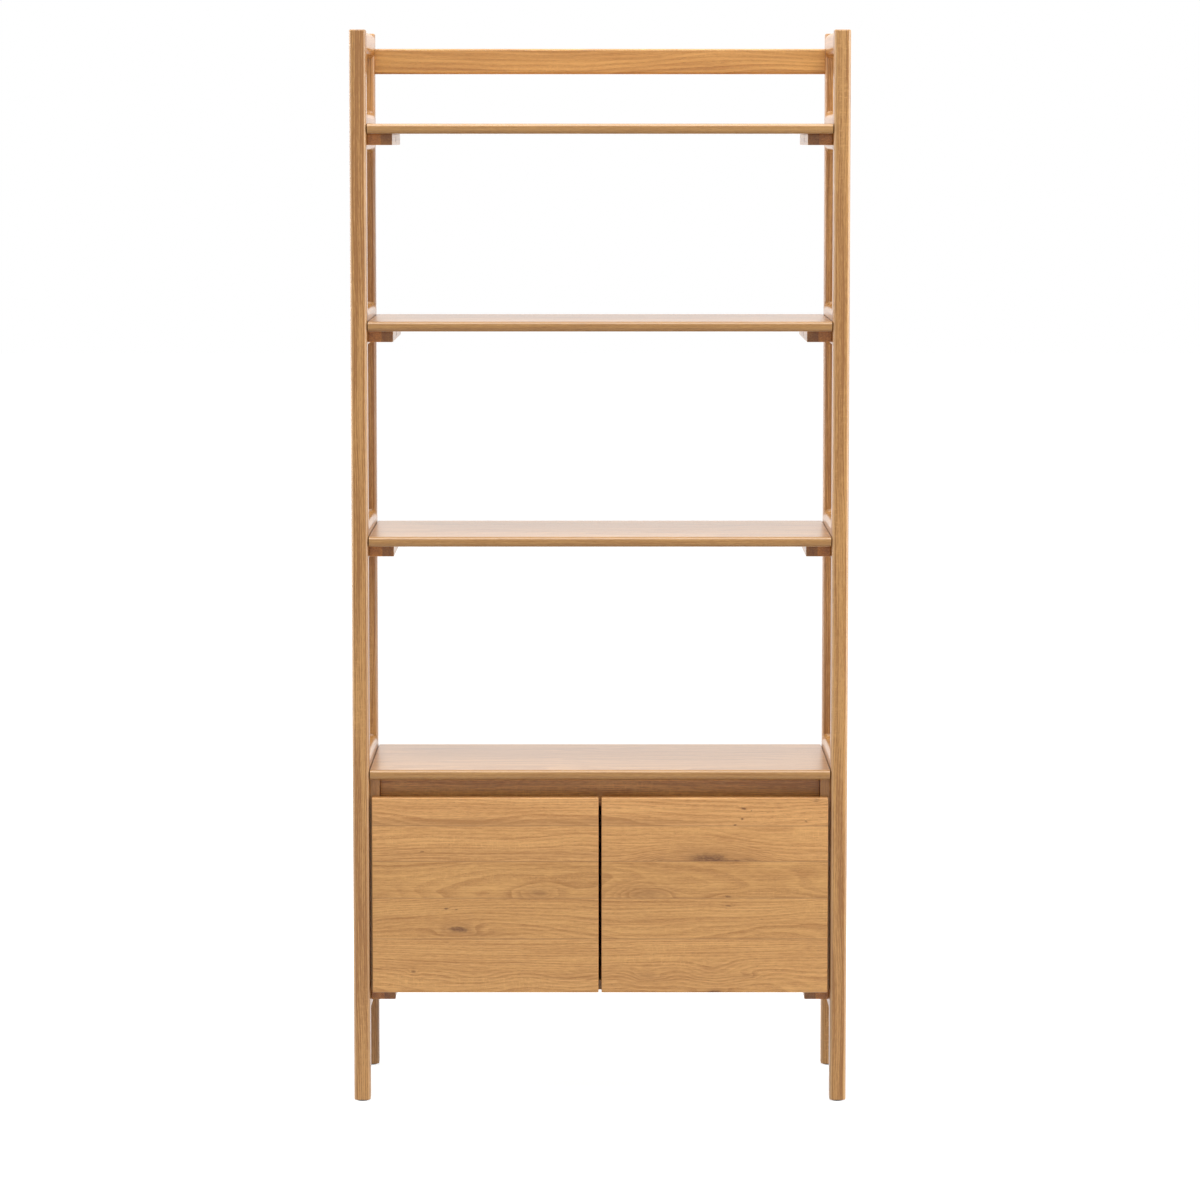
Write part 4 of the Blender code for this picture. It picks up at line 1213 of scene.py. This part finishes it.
def makeHinges():
    z = middleOf("right_upper_hinge_cup")[2]
    models = {"cup": makeCup(z), "link": makeLink(z), "arm": makeArm(z)}
    drop = Vector((0, 0, middleOf("right_lower_hinge_cup")[2] - z))
    for part, model in models.items():
        lower = copyBy(model, f"right_lower_hinge_{part}", drop)
        for level, piece in (("upper", model), ("lower", lower)):
            mirrored = mirrorCopy(piece, f"left_{level}_hinge_{part}")
            for side, made in (("right", piece), ("left", mirrored)):
                body = {"cup": f"{side}_door_leaf", "link": f"{side}_{level}_link", "arm": fixedBody}[part]
                finishPiece(made, f"{side}_{level}_hinge_{part}", nickel, body, metalSharp)


# Batten bolts, with a hex recess

bolt = {
    "headRadius": 0.0055,
    "headHeight": 0.005,
    "headFacets": 40,
    "headRound": 0.0008,
    "headSteps": 4,
    "hexAcross": 0.0050,
    "hexDepth": 0.003,
    "shankRadius": 0.003,
    "shankFacets": 24,
    "tipRound": 0.0008,
    "tipSteps": 2,
}


def makeBolts():
    model = "right_upper_bolt"
    low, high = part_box(model)
    y, z = middleOf(model)[1:]
    under = low.x + bolt["headHeight"]
    head = addRod(model, bolt["headRadius"], (low.x, y, z), (under, y, z), bolt["headFacets"])
    roundEdges(head, bolt["headRound"], bolt["headSteps"], atLowEnd(0, low.x))
    shank = addRod("shank", bolt["shankRadius"], (under - joinLap, y, z), (high.x, y, z), bolt["shankFacets"])
    roundEdges(shank, bolt["tipRound"], bolt["tipSteps"], atHighEnd(0, high.x))
    uniteWith(head, [shank])
    hexRadius = bolt["hexAcross"] / 2 / math.cos(math.pi / 6)
    cutAway(head, addRod("hex", hexRadius, (low.x - cutPast, y, z), (low.x + bolt["hexDepth"], y, z), 6))
    mirrored = mirrorCopy(head, "left_upper_bolt")
    for level in batten["levels"]:
        for side, upper in (("right", head), ("left", mirrored)):
            node = f"{side}_{level}_bolt"
            piece = upper if level == "upper" else copyTo(node, upper, f"{side}_upper_bolt")
            finishPiece(piece, node, zinc, fixedBody, metalSharp)


# Glides: a thin disc under each post, with a peg up into it

glide = {
    "height": 0.003,
    "facets": 48,
    "edgeRound": 0.0012,
    "edgeSteps": 4,
    "pegRadius": 0.003,
    "pegFacets": 20,
    "pegRound": 0.001,
    "pegSteps": 2,
}


def makeGlides():
    model = "left_front_glide"
    low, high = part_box(model)
    x, y = middleOf(model)[:2]
    top = low.z + glide["height"]
    disc = addRod(model, (high.x - low.x) / 2, (x, y, low.z), (x, y, top), glide["facets"])
    roundEdges(disc, glide["edgeRound"], glide["edgeSteps"], atLowEnd(2, low.z))
    peg = addRod("peg", glide["pegRadius"], (x, y, top - joinLap), (x, y, high.z), glide["pegFacets"])
    roundEdges(peg, glide["pegRound"], glide["pegSteps"], atHighEnd(2, high.z))
    uniteWith(disc, [peg])
    for side in sides:
        for end in ends:
            node = f"{side}_{end}_glide"
            piece = disc if node == model else copyTo(node, disc, model)
            finishPiece(piece, node, blackPlastic, fixedBody, metalSharp)


makeHinges()
makeBolts()
makeGlides()
print("hinges, bolts and glides made")


# Floor, light and camera

studio = {
    "floorSize": 60.0,
    "floorGrey": 0.42,
    "floorGlow": 0.86,      # white that the camera sees on the floor besides its own light
    "ambient": 0.44,
    "softboxes": (          # name, power, width, depth, place, target
        ("topSoftbox", 520.0, 4.9, 6.7, (0, -1.8, 7.0), (0, -1.8, 1.0)),
        ("frontSoftbox", 21.0, 4.0, 3.0, (0, -5.5, 3.0), (0, 0, 0.9)),
        ("backSoftbox", 20.0, 5.0, 3.0, (0, 3.6, 2.0), (0, 0, 0.9)),
        ("leftSoftbox", 62.0, 1.6, 2.4, (-2.6, 0.9, 1.5), (0, 0.1, 1.0)),
        ("rightSoftbox", 62.0, 1.6, 2.4, (3.0, -0.5, 1.5), (0, 0, 1.0)),
    ),
    "camera": (0.0, -8.695, 1.754),
    "pitch": 5.578,         # degrees below level
    "lens": 141.5,
    "sensor": 36,
    "farEnd": 200,
}


def cameraWhite(tree):
    # 1 for rays from the camera, mirrors and glass, 0 for rays that carry light
    rays = addNode(tree, "ShaderNodeLightPath").outputs
    seen = calc(tree, "MAXIMUM", rays["Is Camera Ray"], rays["Is Glossy Ray"])
    return calc(tree, "MAXIMUM", seen, rays["Is Transmission Ray"])


def makeFloor():
    bpy.ops.object.select_all(action="DESELECT")
    bpy.ops.mesh.primitive_plane_add(size=studio["floorSize"], location=(0, 0, 0))
    floor = bpy.context.object
    floor.name = "floor"
    material, tree, shader = newMaterial("floorWhite")
    tree.nodes.remove(shader)
    grey = studio["floorGrey"]
    matt = addNode(tree, "ShaderNodeBsdfDiffuse", {"Color": (grey, grey, grey, 1)})
    strength = calc(tree, "MULTIPLY", cameraWhite(tree), studio["floorGlow"])
    glow = addNode(tree, "ShaderNodeEmission", {"Color": (1, 1, 1, 1), "Strength": strength})
    lobes = addNode(tree, "ShaderNodeAddShader", {0: matt.outputs[0], 1: glow.outputs[0]})
    tree.links.new(lobes.outputs[0], tree.nodes["Material Output"].inputs["Surface"])
    floor.data.materials.append(material)


def makeWorld():
    world = bpy.context.scene.world or bpy.data.worlds.new("studio")
    bpy.context.scene.world = world
    world.use_nodes = True
    tree = world.node_tree
    background = tree.nodes["Background"]
    background.inputs["Color"].default_value = (1, 1, 1, 1)
    strength = mapRange(tree, cameraWhite(tree), 0, 1, studio["ambient"], 1.0, "LINEAR")
    feed(tree, background.inputs["Strength"], strength)


def addSoftbox(name, power, width, depth, place, target):
    bpy.ops.object.select_all(action="DESELECT")
    bpy.ops.object.light_add(type="AREA", location=place)
    lamp = bpy.context.object
    lamp.name = name
    lamp.data.shape = "RECTANGLE"
    lamp.data.size, lamp.data.size_y = width, depth
    lamp.data.energy = power
    lamp.rotation_mode = "QUATERNION"
    lamp.rotation_quaternion = (Vector(target) - Vector(place)).to_track_quat("-Z", "Y")
    lamp.visible_camera = False


def makeCamera():
    bpy.ops.object.camera_add(location=studio["camera"])
    camera = bpy.context.object
    camera.rotation_euler = (math.radians(90 - studio["pitch"]), 0, 0)
    camera.data.lens = studio["lens"]
    camera.data.sensor_width = studio["sensor"]
    camera.data.clip_end = studio["farEnd"]
    bpy.context.scene.camera = camera


bpy.context.scene.view_settings.view_transform = "Standard"
makeFloor()
makeWorld()
for softbox in studio["softboxes"]:
    addSoftbox(*softbox)
makeCamera()
print("floor, light and camera placed")
